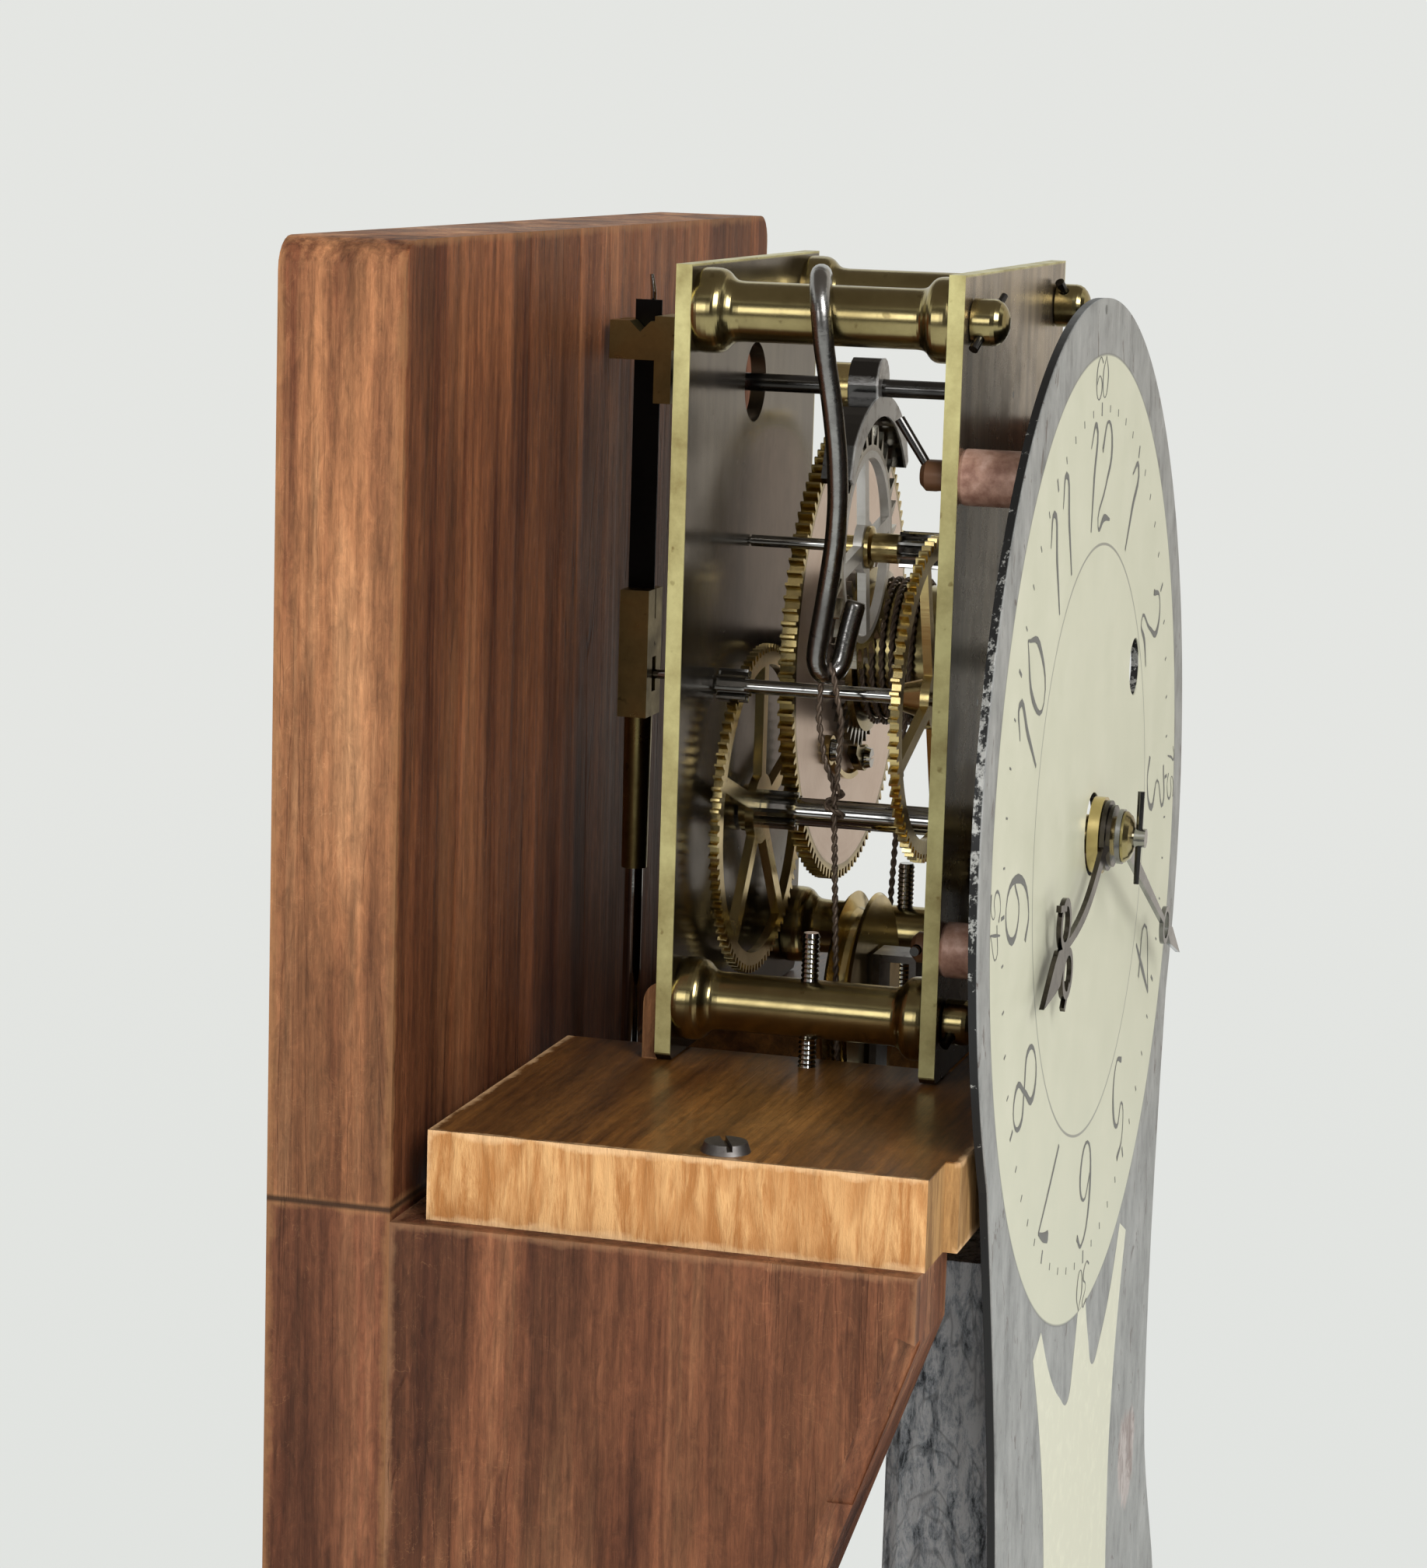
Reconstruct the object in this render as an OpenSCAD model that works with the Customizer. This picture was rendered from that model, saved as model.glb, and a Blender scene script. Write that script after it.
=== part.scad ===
// Weight driven shelf timepiece with a kidney dial, out of its case, on a wooden stand.
// The clock faces -Y. The origin is the centre of the underside of the base board.

/* [Stand] */
// Width of the backboard
stand_w = 200; // [180:1:230]
// Thickness of every board of the stand
board_t = 20; // [16:0.5:24]
// Depth of the base board
base_depth = 124; // [116:1:150]
// Width of the base board
base_w = 220; // [200:1:260]
// Height of the centre arbor above the shelf
arbor_z = 400; // [385:1:460]
// Top of the backboard above the centre arbor
board_rise = 97.5; // [94:0.5:130]
// Rounding of the worn top corners of the backboard
corner_r = 5; // [2:0.5:8]
// Depth of the long bracket under the seat board
bracket_depth = 82; // [78:0.5:83]
// Upright front of a bracket above its slope
bracket_lip = 11; // [6:0.5:16]
// Height of the sloped part of the long bracket
bracket_long = 224; // [190:1:240]
// Height of the sloped part of the short bracket
bracket_short = 84; // [60:1:90]
// Width of the hewn chamfer on the bracket edge
hewn_w = 4; // [2:0.5:6]

/* [Seat board] */
// Thickness of the seat board
seat_t = 14; // [11:0.5:18]
// Setback of the seat board ends from the bracket faces
seat_inset = 3.5; // [1:0.5:8]
// Gap between the seat board and the backboard
seat_gap = 4.6; // [2:0.1:7]
// Half width of the slot for the pulley and the pendulum
slot_half = 28; // [27:0.5:29]
// Front tongue of the seat board past its shoulders
tongue = 2.2; // [1:0.1:2.6]

/* [Plates] */
// Width of a movement plate
plate_w = 80; // [80:0.5:88]
// Height of a movement plate
plate_h = 129; // [127:0.5:134]
// Thickness of a movement plate
plate_t = 2.6; // [2:0.1:3.2]
// Distance between the plates
pillar_len = 41.6; // [41:0.1:44]
// Gap from the backboard to the back plate
plate_gap = 23.3; // [22.8:0.1:26]
// Foot of the plates below the centre arbor
plate_foot = 35.7; // [35.2:0.1:38]
// Radius of a pillar
pillar_r = 4.8; // [4.3:0.1:5.2]
// Radius of a pillar collar
collar_r = 6.8; // [6:0.1:7.4]
// Pillars either side of the middle
pillar_x = 33.5; // [32.5:0.5:35]
// Height of the upper pillars above the centre arbor
pillar_top_z = 85.9; // [84.5:0.1:87]
// Depth of the lower pillars below the centre arbor
pillar_low_z = 26.4; // [25.6:0.1:27.2]

/* [Train] */
// Teeth of the great wheel
great_teeth = 116; // [116:1:116]
// Tooth module of the great wheel
great_module = 0.7; // [0.7:0.01:0.7]
// Teeth of the centre wheel
centre_teeth = 92; // [92:1:92]
// Tooth module of the centre wheel
centre_module = 0.6; // [0.6:0.01:0.6]
// Teeth of the third wheel
third_teeth = 78; // [78:1:78]
// Teeth of the escape wheel
escape_teeth = 30; // [30:1:30]
// Radius of the escape wheel
escape_r = 20.6; // [20:0.1:20.8]
// Leaves of each pinion
leaves = 8; // [8:1:8]
// Height of the winding arbor above the centre arbor
winding_z = 23.7; // [23:0.1:23.8]
// Height of the third arbor above the centre arbor
third_z = 23.6; // [22.6:0.1:24.2]
// Height of the escape arbor above the centre arbor
escape_z = 45.8; // [45.7:0.1:46.2]
// Height of the pallet arbor above the centre arbor
pallet_z = 72.5; // [72:0.1:73.2]
// Radius of the barrel
barrel_r = 12; // [11:0.1:12.6]
// Radius of an arbor's pivot
pivot_r = 0.6; // [0.5:0.05:0.8]
// Running clearance around every pivot and shaft
run = 0.05; // [0.02:0.01:0.08]

/* [Weight and line] */
// Diameter of the weight line
line_d = 1.2; // [1:0.1:1.4]
// Radius of the pulley flanges
pulley_r = 19; // [18:0.5:20]
// Radius of the line around the pulley
groove_r = 16.5; // [15.5:0.5:17]
// Width of the pulley
pulley_w = 4.6; // [4.2:0.1:5.2]
// Width of the weight
weight_w = 60; // [50:1:70]
// Thickness of the weight
weight_t = 21.5; // [18:0.5:22]
// Height of the weight
weight_h = 170; // [140:1:190]
// Diameter of the hook wire
hook_d = 3.4; // [3:0.1:3.4]

/* [Pendulum] */
// Length from the suspension to the middle of the bob
pendulum_len = 285; // [270:1:300]
// Diameter of the bob
bob_d = 76; // [60:1:90]
// Thickness of the bob
bob_t = 13; // [10:0.5:14]
// Diameter of the pendulum rod
rod_d = 3.1; // [2.6:0.1:3.6]

/* [Dial and hands] */
// Diameter of the round top of the dial
dial_d = 177.8; // [170:0.2:182]
// Thickness of the dial plate
dial_t = 1.5; // [1:0.1:2]
// Forward lean of the dial's foot in degrees
dial_tilt = 1.3; // [0.6:0.1:1.6]
// Gap between the front plate and the dial
dial_gap = 15.05; // [14.6:0.05:16.5]
// Dial below the centre arbor
dial_drop = 196; // [170:1:205]
// Length of the minute hand
minute_len = 72.5; // [60:0.5:78]
// Length of the hour hand
hour_len = 55; // [50:0.5:58]
// Minutes past eight that the hands show
minutes = 19.4; // [19.4:0.1:19.4]

/* [Hidden] */
$fn = 48;

eps = 0.01;       // overlap that makes a cut clean
fit = 0.05;       // clearance between fixed pieces
seat_clear = 0.3; // gap under the feet of the plates

// places across the clock, front to back
back_y = base_depth / 2;
board_y = back_y - board_t;
plate_y = board_y - plate_gap - plate_t; // inner face of the back plate
front_d = pillar_len;                    // depths are measured forward from plate_y
front_out = pillar_len + plate_t;
dial_d_back = front_out + dial_gap;
dial_d_front = dial_d_back + dial_t;

// heights above the shelf
seat_top = arbor_z - plate_foot - seat_clear;
seat_low = seat_top - seat_t;
seam_z = seat_low + 1.8;
top_z = arbor_z + board_rise;
seat_end = stand_w / 2 - seat_inset;
seat_back = board_y - seat_gap;
seat_front = board_y - bracket_depth - 0.3;
shoulder = 12; // width of the notch at each front corner of the seat board

// train: pitch radii and distances between arbors
function pitch_r(teeth, m) = teeth * m / 2;
great_centre = pitch_r(great_teeth + leaves, great_module);
winding_x = sqrt(great_centre * great_centre - winding_z * winding_z);
centre_third = pitch_r(centre_teeth + leaves, centre_module);
third_x = -sqrt(centre_third * centre_third - third_z * third_z);
third_escape = sqrt(third_x * third_x + (escape_z - third_z) * (escape_z - third_z));
third_module = 2 * third_escape / (third_teeth + leaves);

// depths of the wheels, forward from the inner face of the back plate
great_d = 6.8;
great_t = 2.6;
centre_d = 2.1;
centre_t = 1.6;
third_d = 35.7;
third_t = 1.5;
escape_d = 18.9;
escape_t = 1.5;
ratchet_d = 9.8;
ratchet_t = 2;
ratchet_r = 17.4;
ratchet_teeth = 36; // a multiple of twelve, so that turns of 30 degrees leave the click in a gap
barrel_d = ratchet_d + ratchet_t;
barrel_l = 21.4;
flange_t = 1.6;
line_y_d = 23; // depth of the pulley and of the straight runs of the line

// hand angles, clockwise from twelve
minute_a = minutes * 6;
hour_a = 240 + minutes / 2;

// moves children to an arbor; their +Z then points to the front
module on_arbor(x, z, depth) {
    translate([x, plate_y - depth, arbor_z + z]) rotate([90, 0, 0]) children();
}
module disc(r, h, d = 0) { translate([0, 0, d]) cylinder(r = r, h = h); }

// toothed outline: half widths are shares of a tooth pitch
function tooth(a, s, r_root, r_pitch, r_tip, w_root, w_pitch, w_tip) = [
    for (p = [[r_root, -w_root], [r_pitch, -w_pitch], [r_tip, -w_tip],
              [r_tip, w_tip], [r_pitch, w_pitch], [r_root, w_root]])
        p[0] * [cos(a + p[1] * s), sin(a + p[1] * s)]];
module toothed(teeth, m, phase, tip, root, w_root, w_pitch, w_tip) {
    r = pitch_r(teeth, m);
    s = 360 / teeth;
    polygon([for (i = [0:teeth - 1]) each tooth(phase + i * s, s, r - root * m, r,
        r + tip * m, w_root, w_pitch, w_tip)]);
}
module wheel_outline(teeth, m, phase) { toothed(teeth, m, phase, 0.95, 1.2, 0.26, 0.2, 0.1); }
module pinion_outline(m, phase, n = leaves) { toothed(n, m, phase, 0.7, 1.3, 0.2, 0.15, 0.09); }

// phase that puts a gap of a pinion against a tooth of its wheel
function mesh_phase(dir, teeth, phase, n) =
    dir + 180 + 180 / n + ((phase - dir) - round((phase - dir) * teeth / 360) * 360 / teeth)
    * -teeth / n;

module crossings(hub_r, rim_r, arms, arm_w, a0 = 0) {
    difference() {
        circle(r = rim_r);
        circle(r = hub_r);
        for (i = [0:arms - 1]) rotate(a0 + i * 360 / arms)
            translate([0, -arm_w / 2]) square([rim_r + 1, arm_w]);
    }
}

// steel screw with a slotted head, head on top of z = 0
module slotted_screw(head_r, head_h, shank_r, len, slot = 0.9) {
    difference() {
        union() {
            cylinder(r1 = head_r, r2 = head_r * 0.86, h = head_h);
            translate([0, 0, -len]) cylinder(r = shank_r, h = len + eps);
        }
        translate([-head_r - 1, -slot / 2, head_h * 0.45]) cube([2 * head_r + 2, slot, head_h]);
    }
}

// swept round bar along points, with a carried frame so that it never twists
function unit(v) = v / norm(v);
function tangents(p) = [for (i = [0:len(p) - 1])
    unit(p[min(i + 1, len(p) - 1)] - p[max(i - 1, 0)])];
function square_to(n, t) = unit(n - (n * t) * t);
function carried(t, n0) =
    [for (i = 0, n = square_to(n0, t[0]); i < len(t); i = i + 1,
        n = square_to(n, t[min(i, len(t) - 1)])) n];
module bar(p, r, sides, n0) {
    t = tangents(p);
    n = carried(t, n0);
    last = len(p) - 1;
    ring = [for (i = [0:last]) for (k = [0:sides - 1])
        p[i] + r * (cos(360 * k / sides) * n[i] + sin(360 * k / sides) * cross(t[i], n[i]))];
    polyhedron(points = concat(ring, [p[0], p[last]]), faces = concat(
        [for (i = [0:last - 1]) for (k = [0:sides - 1]) each
            let (a = i * sides + k, b = i * sides + (k + 1) % sides)
            [[a, a + sides, b], [b, a + sides, b + sides]]],
        [for (k = [0:sides - 1]) [k, (k + 1) % sides, len(ring)]],
        [for (k = [0:sides - 1])
            [last * sides + (k + 1) % sides, last * sides + k, len(ring) + 1]]));
}

// Stand
screw_r = 2.2;
bracket_screw_z = [seat_low - 22, seat_low - 60];
base_screw_x = [-0.3 * stand_w, 0, 0.3 * stand_w];
module base_board() {
    color("saddlebrown") difference() {
        translate([-base_w / 2, -base_depth / 2, 0]) cube([base_w, base_depth, board_t]);
        for (x = base_screw_x) translate([x, board_y + board_t / 2, -eps]) {
            cylinder(r = screw_r + fit, h = board_t + 1);
            cylinder(r = 5, h = 5);
        }
    }
}
module board(z0, z1, r) {
    translate([0, board_y + board_t, 0]) rotate([90, 0, 0]) linear_extrude(board_t)
        if (r > 0) {
            polygon(concat([[-stand_w / 2, z0], [stand_w / 2, z0]],
                [for (a = [0:15:90]) [stand_w / 2 - r + r * cos(a), z1 - r + r * sin(a)]],
                [for (a = [90:15:180]) [-stand_w / 2 + r + r * cos(a), z1 - r + r * sin(a)]]));
        } else translate([-stand_w / 2, z0]) square([stand_w, z1 - z0]);
}
module bracket_holes(grow) {
    for (s = [-1, 1]) for (z = bracket_screw_z)
        translate([s * (stand_w - board_t) / 2, back_y, z]) rotate([90, 0, 0]) {
            translate([0, 0, -1]) cylinder(r = screw_r + grow, h = 41);
            translate([0, 0, -1]) cylinder(r = 4.4 + grow, h = 3.4 + grow);
        }
}
module backboard_lower() {
    color("sienna") difference() {
        board(board_t, seam_z, 0);
        bracket_holes(fit);
        for (x = base_screw_x) translate([x, board_y + board_t / 2, board_t - eps])
            cylinder(r = screw_r + fit, h = 26);
    }
}
module backboard_upper() { color("sienna") board(seam_z, top_z, corner_r); }
module stand_screws() {
    color("slategray") {
        for (s = [-1, 1]) for (z = bracket_screw_z)
            translate([s * (stand_w - board_t) / 2, back_y - 2.4, z]) rotate([-90, 0, 0])
                slotted_screw(4.2, 2, screw_r, 36);
        for (x = base_screw_x) translate([x, board_y + board_t / 2, 4.9]) mirror([0, 0, 1])
            slotted_screw(4.2, 2, screw_r, 38);
    }
}
module bracket_side(slope_h) {
    f = board_y - bracket_depth;
    polygon([[board_y, seat_low], [f, seat_low], [f, seat_low - bracket_lip],
        [board_y - 2, seat_low - bracket_lip - slope_h],
        [board_y, seat_low - bracket_lip - slope_h]]);
}
// knife cuts along the front edge of a bracket, one after another down the slope
module hewn_cuts(slope_h, cuts) {
    f = board_y - bracket_depth;
    dy = (bracket_depth - 2) / cuts;
    dz = slope_h / cuts;
    turn = atan2(slope_h, bracket_depth - 2);
    for (i = [0:cuts - 1])
        translate([0, f + (i + 0.5) * dy, seat_low - bracket_lip - (i + 0.5) * dz])
            rotate([-turn, 0, 0]) rotate([0, 45, 0]) cube([hewn_w * 1.2,
                norm([dy, dz]) * 1.06, hewn_w * (i % 2 == 0 ? 1.35 : 1.1)], center = true);
}
module bracket(side, slope_h, cuts) {
    difference() {
        translate([side * (stand_w - board_t) / 2 + board_t / 2, 0, 0]) rotate([90, 0, -90])
            linear_extrude(board_t) mirror([1, 0]) bracket_side(slope_h);
        bracket_holes(fit);
        translate([side * seat_screw_x, seat_screw_y, seat_low - 22])
            cylinder(r = screw_r + fit, h = 30);
        translate([side * stand_w / 2, 0, 0]) hewn_cuts(slope_h, cuts);
    }
}
module bracket_left() { color("sienna") bracket(-1, bracket_long, 9); }
module bracket_right() { color("sienna") bracket(1, bracket_short, 5); }

seat_screw_x = 91.2;
seat_screw_y = plate_y - 24.1;
bolt_r = 1.5;
bolt_y = plate_y - 21.5;
module seat_board() {
    color("peru") difference() {
        union() {
            translate([-seat_end, seat_front, seat_low])
                cube([2 * seat_end, seat_back - seat_front, seat_t]);
            translate([-seat_end + shoulder, seat_front - tongue, seat_low])
                cube([2 * (seat_end - shoulder), tongue + 1, seat_t]);
        }
        translate([-slot_half, seat_front + 12, seat_low - 1])
            cube([2 * slot_half, seat_back - seat_front, seat_t + 2]);
        for (s = [-1, 1]) {
            translate([s * seat_screw_x, seat_screw_y, seat_low - 1])
                cylinder(r = screw_r + fit, h = seat_t + 2);
            translate([s * pillar_x, bolt_y, seat_low - 1])
                cylinder(r = bolt_r + fit, h = seat_t + 2);
        }
    }
}
// small blocks of wood that stand on the seat board behind the feet of the back plate
block_x = plate_w / 2 - 8;
block_h = 12.6;
module packing_blocks() {
    color("peru") for (x = [block_x, -block_x - 6.5])
        translate([x, plate_y + plate_t + fit, seat_top]) rotate([90, 0, 90])
            linear_extrude(6.5) polygon(concat([[0, block_h], [0, 0], [2.5, 0]],
                [for (a = [0:15:75]) [2.5 * cos(a), block_h - 3.4 + 3.4 * sin(a)]]));
}
module seat_screws() {
    color("slategray") for (s = [-1, 1]) translate([s * seat_screw_x, seat_screw_y, seat_top])
        rotate(25) slotted_screw(3.8, 1.5, screw_r, seat_t + 20);
}

// Movement plates
dial_post_x = 36;
dial_post_top = 61.7;
dial_post_low = -14.1;
dial_post_r = 4.5;
motion_x = -9.6;
motion_z = -7.2;
plate_holes = [[third_x, third_z], [0, escape_z]];
module plate_blank() {
    c = 1.2; // small cuts at the corners of a plate
    polygon([[-plate_w / 2 + c, -plate_foot], [plate_w / 2 - c, -plate_foot],
        [plate_w / 2, c - plate_foot], [plate_w / 2, plate_h - plate_foot],
        [-plate_w / 2, plate_h - plate_foot], [-plate_w / 2, c - plate_foot]]);
}
module pillar_points() {
    for (s = [-1, 1]) for (z = [pillar_top_z, -pillar_low_z]) translate([s * pillar_x, z])
        children();
}
tenon_r = 3.2;
cock_screw_x = 9;
cock_screw_z = 87.5;
pallet_hole_r = 6.7;
module back_plate() {
    color("goldenrod") on_arbor(0, 0, -plate_t) linear_extrude(plate_t) difference() {
        plate_blank();
        pillar_points() circle(r = tenon_r + fit);
        for (p = plate_holes) translate(p) circle(r = pivot_r + run);
        circle(r = 1 + run);
        translate([winding_x, winding_z]) circle(r = 1.5 + run);
        translate([0, pallet_z]) circle(r = pallet_hole_r);
        for (s = [-1, 1]) translate([s * cock_screw_x, cock_screw_z]) circle(r = 1.2 + fit);
    }
}
module front_plate() {
    color("goldenrod") on_arbor(0, 0, front_d) linear_extrude(plate_t) difference() {
        plate_blank();
        pillar_points() circle(r = tenon_r + fit);
        for (p = plate_holes) translate(p) circle(r = pivot_r + run);
        translate([0, pallet_z]) circle(r = pivot_r + run);
        circle(r = centre_front_r + run);
        translate([winding_x, winding_z]) circle(r = winding_r + run);
        for (s = [-1, 1]) for (z = [dial_post_top, dial_post_low])
            translate([s * dial_post_x, z]) circle(r = 2.5 + fit);
        translate([motion_x, motion_z]) circle(r = 1.2 + fit);
    }
}

// turned pillar: a collar at each plate, a tenon through both
pin_d = front_out + 2.6;
pin_turn = 76;
// the rounded end of a pillar, from the plate's face out to the shaft
collar_shape = spline([[collar_r - 0.15, 0], [collar_r, 0.9], [collar_r - 0.05, 3.1],
    [collar_r - 0.5, 4.2], [(collar_r + pillar_r) / 2 - 0.3, 5], [pillar_r + 0.15, 5.9],
    [pillar_r, 7.2]], 3);
module pillar() {
    difference() {
        rotate_extrude() polygon(concat([[0, -plate_t], [tenon_r, -plate_t], [tenon_r, 0]],
            collar_shape,
            [for (i = [len(collar_shape) - 1:-1:0])
                [collar_shape[i][0], front_d - 0.85 * collar_shape[i][1]]],
            [[tenon_r, front_d], [tenon_r, front_out],
            [tenon_r + 0.5, front_out + 0.3], [tenon_r + 0.5, front_out + 3.4]],
            [for (a = [15:15:75]) [(tenon_r + 0.5) * cos(a), front_out + 3.4 + 2.6 * sin(a)]],
            [[0, front_out + 6]]));
        translate([0, 0, pin_d]) rotate([0, pin_turn, 0])
            cylinder(r = 0.8 + fit, h = 20, center = true);
    }
}
module pillars_top() {
    color("goldenrod") for (s = [-1, 1]) on_arbor(s * pillar_x, pillar_top_z, 0)
        rotate(-45 * s) pillar();
}
module pillars_bottom() {
    color("goldenrod") for (s = [-1, 1]) difference() {
        on_arbor(s * pillar_x, -pillar_low_z, 0) rotate(-30 * s) pillar();
        translate([s * pillar_x, bolt_y, arbor_z - pillar_low_z - 10])
            cylinder(r = bolt_r + fit, h = 20);
    }
}
module pillar_pins() {
    color("dimgray") for (s = [-1, 1]) for (q = [[pillar_top_z, -45], [-pillar_low_z, -30]])
        on_arbor(s * pillar_x, q[0], 0) rotate(q[1] * s) translate([0, 0, pin_d])
            rotate([0, pin_turn, 0]) cylinder(r1 = 0.8, r2 = 0.55, h = 12, center = true);
}
// threaded bolts through the lower pillars, as rings of a fine pitch
bolt_top = seat_top + 22.2;
bolt_len = bolt_top - seat_low + 9;
module hold_down_bolts() {
    color("silver") for (s = [-1, 1]) translate([s * pillar_x, bolt_y, bolt_top - bolt_len])
        rotate_extrude($fn = 24) polygon(concat([[0, 0], [bolt_r - 0.3, 0]],
            [for (i = [0:floor(bolt_len / 0.8) - 1]) each
                [[bolt_r - 0.22, i * 0.8 + 0.15], [bolt_r, i * 0.8 + 0.5]]],
            [[bolt_r - 0.3, bolt_len], [0, bolt_len]]));
    // a nut and a washer under the seat board
    color("silver") for (s = [-1, 1]) for (q = [[4.4, 3.4, 4.2, 6], [0.95, 0.9, 5.5, 48]])
        translate([s * pillar_x, bolt_y, seat_low - q[0]]) difference() {
            cylinder(r = q[2], h = q[1], $fn = q[3]);
            translate([0, 0, -1]) cylinder(r = bolt_r + fit, h = 6);
        }
}

// Back cock: a foot on the plate, a bar to the rear, a wall that holds the pallet arbor,
// and a slotted arm for the suspension
cock_wall = 13.4; // depth of the wall behind the inner face of the back plate
cock_wall_t = 3;
arm_end = 24.3 - plate_t;
arm_w = 10;
swing_z = pallet_z + 4; // the point that the suspension strip swings about
strip_y = 19 - plate_t;   // behind the rear face of the back plate
strip_w = 4.6;
strip_top = pallet_z + 13;
strip_t = 0.4;
module behind(z) { translate([0, plate_y + plate_t, arbor_z + z]) children(); }
module back_cock() {
    wall_y = cock_wall - plate_t;
    color("darkgoldenrod") difference() {
        behind(0) union() {
            translate([-14, 0, 82.5]) cube([28, 3, 9.5]);
            translate([-arm_w / 2, 0, 77.4]) cube([arm_w, wall_y + cock_wall_t, 5.6]);
            translate([-arm_w / 2, wall_y, 68.4]) cube([arm_w, cock_wall_t, 13]);
            translate([-arm_w / 2, wall_y, 75.6]) cube([arm_w, arm_end - wall_y, 6.5]);
        }
        behind(pallet_z) rotate([90, 0, 0])
            translate([0, 0, -wall_y - cock_wall_t - 1]) cylinder(r = pivot_r + run, h = 20);
        behind(75) translate([-0.5, strip_y - strip_w / 2 - 0.3, 0]) cube([1, 20, 12]);
        behind(0) translate([0, strip_y, 82.1]) rotate([45, 0, 0])
            cube([arm_w + 2, 2.6, 2.6], center = true);
        for (s = [-1, 1]) behind(cock_screw_z) translate([s * cock_screw_x, -1, 0])
            rotate([-90, 0, 0]) cylinder(r = 1.2 + fit, h = 9);
        behind(74) translate([2.4, strip_y, 0]) cylinder(r = 0.5 + fit, h = 12);
    }
}
module cock_screws() {
    color("slategray") for (s = [-1, 1]) behind(cock_screw_z) translate([s * cock_screw_x, 3, 0])
        rotate([-90, 0, 0]) rotate(35 * s) slotted_screw(2.4, 1.6, 1.2, 5.5, 0.6);
}
module suspension_pin() {
    color("silver") behind(75.7) translate([2.4, strip_y, 0]) {
        cylinder(r = 0.5, h = 11);
        translate([0, 0, 11]) rotate([-8, 0, 0]) cylinder(r1 = 0.5, r2 = 0.35, h = 3);
    }
}

// Dial, its four feet and their pins
module dial_posts() {
    color("indianred") for (s = [-1, 1]) for (z = [dial_post_top, dial_post_low])
        on_arbor(s * dial_post_x, z, front_d) difference() {
            tail = post_tail(z);
            end = plate_t + dial_gap - 0.12 - dial_lean(z);
            rotate_extrude() polygon([[0, -tail], [1.6, 0.3 - tail], [2.5, 1.2 - tail],
                [2.5, plate_t], [dial_post_r - 0.3, plate_t], [dial_post_r, plate_t + 0.5],
                [dial_post_r, end], [0, end]]);
            translate([0, 0, -tail / 2]) rotate(post_pin_turn(z))
                cylinder(r = post_pin_r + fit, h = 16, center = true);
        }
}
function dial_lean(z) = z * tan(dial_tilt);
// the upper feet have long pins that lean back, the lower ones short level pins
post_pin_r = 0.85;
function post_tail(z) = z > 0 ? 4.4 : 2.9;
function post_pin_turn(z) = z > 0 ? [-124, 0, 0] : [0, 90, 0];
module dial_post_pins() {
    color("dimgray") for (s = [-1, 1]) for (z = [dial_post_top, dial_post_low])
        on_arbor(s * dial_post_x, z, front_d - post_tail(z) / 2) rotate(post_pin_turn(z))
            translate([0, 0, z > 0 ? -1.9 : -4]) cylinder(r1 = post_pin_r - 0.1, r2 = post_pin_r,
                h = z > 0 ? 12.3 : 8);
}
function ease(t) = t * t * (3 - 2 * t);
waist_w = 132.5;
waist_z = -120;
lobe_w = 166;
lobe_z = -176;
neck_z = -42;
module dial_outline() {
    r = dial_d / 2;
    neck_a = asin(neck_z / r);
    neck_x = r * cos(neck_a);
    lobe = [for (i = [0:6]) let (t = i / 6)
        [waist_w / 2 + (lobe_w - waist_w) / 2 * ease(t), waist_z + (lobe_z + 8 - waist_z) * t]];
    foot = [for (a = [0:15:105])
        [lobe_w / 2 - 20 + 20 * cos(a), -dial_drop + 20 + (-20) * sin(a)]];
    waist = [for (i = [0:7]) let (t = i / 7)
        [neck_x + (waist_w / 2 - neck_x) * sin(90 * t), neck_z + (waist_z - neck_z) * t]];
    round_top = [for (i = [0:90]) let (a = neck_a + (90 - neck_a) * i / 90) r * [cos(a), sin(a)]];
    arch = [for (i = [1:5]) let (x = (lobe_w / 2 - 30) * (1 - i / 5))
        [x, -dial_drop + 10 * (1 - pow(x / (lobe_w / 2 - 30), 2))]];
    half = concat([for (i = [90:-1:1]) round_top[i]], waist, lobe, foot, arch);
    polygon(concat(half, [for (i = [len(half) - 2:-1:1]) [-half[i][0], half[i][1]]]));
}
module dial_plate() {
    color("gainsboro") on_arbor(0, 0, dial_d_back) rotate([-dial_tilt, 0, 0])
        linear_extrude(dial_t) difference() {
            dial_outline();
            circle(r = 7);
            translate([winding_x, winding_z]) circle(r = 5);
        }
}

// Motion work
motion_m1 = 0.5;
cannon_teeth = 12;
minute_teeth = 36;
motion_dist = pitch_r(cannon_teeth + minute_teeth, motion_m1);
motion_pinion = 10;
hour_teeth = 40;
motion_m2 = 2 * motion_dist / (motion_pinion + hour_teeth);
motion_dir = atan2(motion_z, motion_x);
cannon_d = front_out + 0.4;
hour_d = front_out + 4.2;
centre_front_r = 1.9;
module motion_stud() {
    color("silver") on_arbor(motion_x, motion_z, front_d) rotate_extrude() polygon([[0, 0],
        [1.2, 0], [1.2, plate_t + 7.4], [1.9, plate_t + 7.5], [1.9, plate_t + 8.2],
        [0, plate_t + 8.4]]);
}
module cannon_pinion() {
    color("silver") on_arbor(0, 0, cannon_d) difference() {
        union() {
            linear_extrude(2.6) toothed(cannon_teeth, motion_m1,
                mesh_phase(motion_dir + 180, minute_teeth, 0, cannon_teeth),
                0.7, 1.2, 0.22, 0.16, 0.09);
            cylinder(r = 2.3, h = 65.2 - cannon_d);
        }
        translate([0, 0, -1]) cylinder(r = centre_tip_r + run, h = 40);
    }
}
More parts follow.
